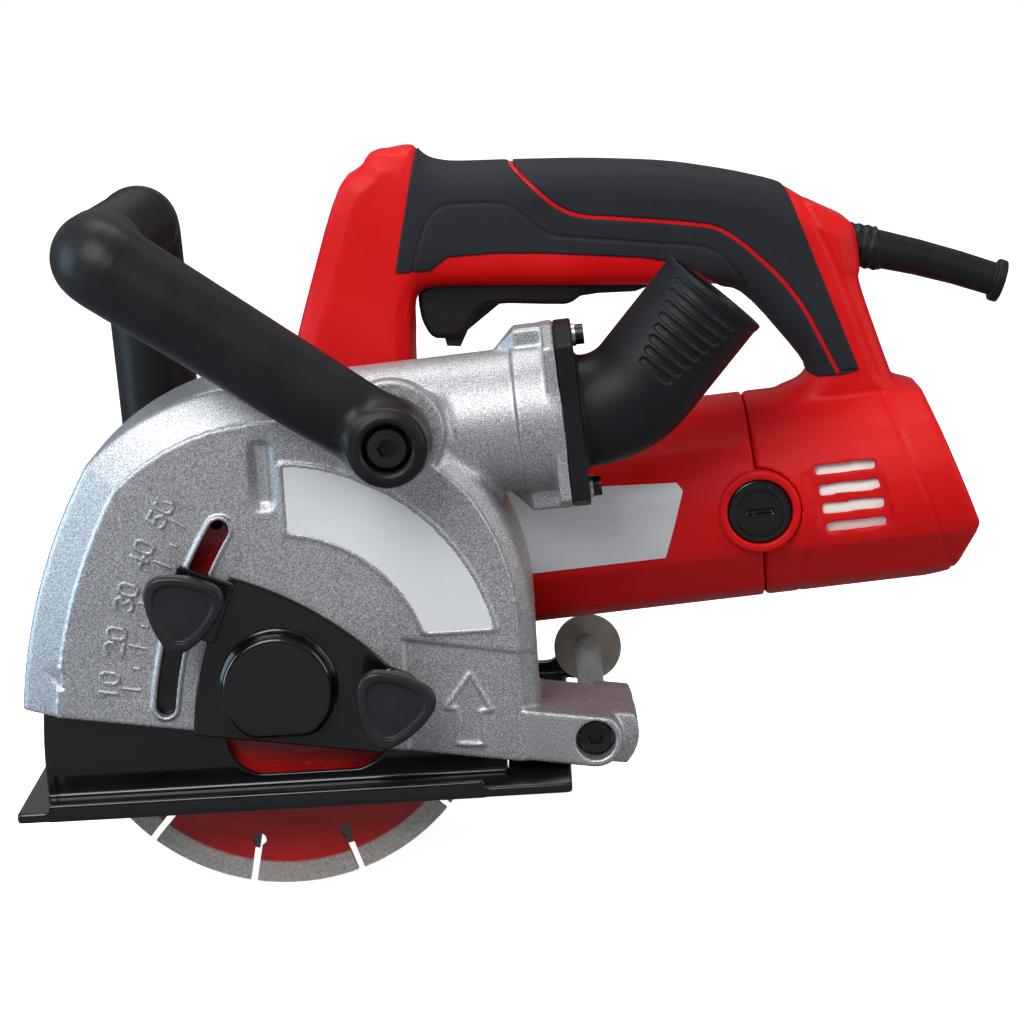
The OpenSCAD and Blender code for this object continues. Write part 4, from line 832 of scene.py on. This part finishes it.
def make_sleeve():
    g = Grid((200, 56, 140), (284, 84, 186), 0.45)
    path = [(206, MOTOR_Y, 174.5), (214, MOTOR_Y, 172.2), (226, MOTOR_Y, 169.4), (240, MOTOR_Y, 165.5),
            (255, MOTOR_Y, 160.6), (272.5, MOTOR_Y, 154.0)]
    d = tube(g, path, [7.2, 7.2, 7.1, 6.7, 6.4, 6.2])
    along = g.x * 0.94 - g.z * 0.34
    base = tube(g, path[1:3], 8.3) + 0.5 * (0.5 + 0.5 * np.cos(along * 2 * math.pi / 3.2))
    d = join(d, np.maximum(base, np.maximum(215 - g.x, g.x - 226)), 0.8)
    stop = (g.x - 269.9) * 0.937 - (g.z - 154.9) * 0.35
    rim = tube(g, path[-2:], 8.1)
    d = join(d, both(both(rim, stop - 2, 0.8), -stop - 1.6, 0.8), 0.6)
    d = np.maximum(d, stop - 2)
    d = cut(d, tube(g, path[:-1] + [(290, MOTOR_Y, 147.4)], 4.0), 0.3)
    place(g.mesh("cable_sleeve", d), "strain_relief")


TRIGGER = [(60, 95), (59, 88.5), (59.4, 81.2), (61.7, 75.3), (64.6, 73.3), (73.3, 73.2), (76.8, 76.3),
           (80.7, 82.2), (86.6, 84.3), (112.3, 80.6), (115.5, 80.8), (120.4, 83.6), (145, 81.8),
           (145, 90), (138, 93), (104, 95)]


def make_trigger():
    g = Grid((50, 56, 128), (152, 84, 176), 0.5)
    u, w, y = g.u, g.w, g.y - MOTOR_Y
    area = polygon(u, w, curve(TRIGGER, 1))
    d = slab(area, y, -8, 8, 2.2)
    d = cut(d, np.maximum(box2(u, w, 62, 95, 50, 92.5), np.abs(y) - 3.4), 0.3)
    place(g.mesh("trigger_blade", d), "trigger")


for build in (make_guard, make_scale, make_front_handle, make_handle, make_pads, make_motor, make_brush_caps,
              make_elbow, make_cover, make_pointer, make_shoe, make_sleeve, make_trigger):
    build()
make_knob("depth_knob_top", "depth_knob", STUD, 17.5)
make_knob("cover_knob_top", "cover_knob", COVER_KNOB, 9.0)

# machined and bought-in CAD parts get a fine edge radius
for node_name in ("gear_housing", "gear_case_cover", "hinge_pin", "hinge_washer", "hinge_nut", "hinge_screw",
                  "handle_bolts", "elbow_screws", "elbow_washers", "lock_off_lever"):
    edge = frame["nodes"][node_name].modifiers.new("edge", "BEVEL")
    edge.width, edge.segments, edge.limit_method = 0.0003, 2, "ANGLE"
    edge.angle_limit = math.radians(40)

# ---------------------------------------------------------------- camera, lights, floor
CAM_AZ, CAM_EL, CAM_ROLL = math.radians(0.878), math.radians(10.795), math.radians(3.54)
CAM_AT = (100.62, -1049.68, 291.17)
look = Vector((-math.sin(CAM_AZ) * math.cos(CAM_EL), math.cos(CAM_AZ) * math.cos(CAM_EL), -math.sin(CAM_EL)))
right = Vector((math.cos(CAM_AZ), math.sin(CAM_AZ), 0))
up = right.cross(look)
image_right = right * math.cos(CAM_ROLL) - up * math.sin(CAM_ROLL)
image_up = up * math.cos(CAM_ROLL) + right * math.sin(CAM_ROLL)
cam_data = bpy.data.cameras.new("camera")
cam_data.lens, cam_data.sensor_width = 105.47, 36.0
cam_data.clip_start, cam_data.clip_end = 0.05, 20.0
camera = bpy.data.objects.new("camera", cam_data)
bpy.context.scene.collection.objects.link(camera)
turn = Matrix((image_right, image_up, -look)).transposed().to_4x4()
camera.matrix_world = Matrix.Translation(Vector(CAM_AT) * MM) @ turn
bpy.context.scene.camera = camera


def area_light(name, at, target, size, power, colour=(1, 1, 1)):
    data = bpy.data.lights.new(name, "AREA")
    data.shape, data.size, data.size_y = "RECTANGLE", size[0], size[1]
    data.energy, data.color = power, colour
    obj = bpy.data.objects.new(name, data)
    obj.location = at
    obj.rotation_euler = (Vector(target) - Vector(at)).to_track_quat("-Z", "Y").to_euler()
    bpy.context.scene.collection.objects.link(obj)


CENTRE = (0.08, 0.02, 0.09)
area_light("key", (-0.35, -0.95, 0.95), CENTRE, (0.8, 0.8), 16)
area_light("left", (-1.3, -0.15, 0.35), CENTRE, (0.45, 1.0), 13, (0.55, 0.80, 1.0))
area_light("right", (1.25, -0.55, 0.5), CENTRE, (0.35, 0.9), 5)
area_light("top", (0.1, 0.35, 1.35), CENTRE, (0.9, 0.5), 6)
# white to the eye, a softer gradient as light: brighter above, darker below
world = bpy.data.worlds.new("studio")
world.use_nodes = True
sky = world.node_tree
soft = sky.nodes["Background"]
direction = sky.nodes.new("ShaderNodeTexCoord").outputs["Generated"]
split_sky = sky.nodes.new("ShaderNodeSeparateXYZ")
sky.links.new(direction, split_sky.inputs[0])
sky.links.new(ramp(sky, span(sky, split_sky.outputs["Z"], 0, 1, -1, 1),
                   [(0.0, (0.35, 0.35, 0.36)), (0.45, (0.30, 0.31, 0.33)), (0.62, (0.55, 0.57, 0.60)),
                    (1.0, (1.0, 1.0, 1.0))]), soft.inputs["Color"])
soft.inputs["Strength"].default_value = 0.42
white = sky.nodes.new("ShaderNodeBackground")
white.inputs["Color"].default_value = (1, 1, 1, 1)
seen = sky.nodes.new("ShaderNodeLightPath")
blend = sky.nodes.new("ShaderNodeMixShader")
sky.links.new(seen.outputs["Is Camera Ray"], blend.inputs[0])
sky.links.new(soft.outputs[0], blend.inputs[1])
sky.links.new(white.outputs[0], blend.inputs[2])
sky.links.new(blend.outputs[0], sky.nodes["World Output"].inputs["Surface"])
bpy.context.scene.world = world
bpy.context.scene.view_settings.view_transform = "Standard"

floor_data = bpy.data.meshes.new("floor")
half = 6.0
floor_data.from_pydata([(-half, -half, FLOOR_Z * MM), (half, -half, FLOOR_Z * MM),
                        (half, half, FLOOR_Z * MM), (-half, half, FLOOR_Z * MM)], [], [(0, 1, 2, 3)])
floor = bpy.data.objects.new("floor", floor_data)
bpy.context.scene.collection.objects.link(floor)
floor_look, _, floor_shader, _ = material("floor", (0.95, 0.95, 0.95), 0.9, specular=0.0)
floor_shader.inputs["Emission Color"].default_value = (1, 1, 1, 1)
floor_shader.inputs["Emission Strength"].default_value = 0.9
# the floor stays pale to the eye and darker in reflections, as in a studio
floor_tree = floor_look.node_tree
dim = floor_tree.nodes.new("ShaderNodeBsdfDiffuse")
dim.inputs["Color"].default_value = (0.25, 0.25, 0.26, 1)
eye = floor_tree.nodes.new("ShaderNodeLightPath")
pick = floor_tree.nodes.new("ShaderNodeMixShader")
floor_tree.links.new(eye.outputs["Is Camera Ray"], pick.inputs[0])
floor_tree.links.new(dim.outputs[0], pick.inputs[1])
floor_tree.links.new(floor_shader.outputs[0], pick.inputs[2])
floor_tree.links.new(pick.outputs[0], floor_tree.nodes["Material Output"].inputs["Surface"])
floor_data.materials.append(floor_look)
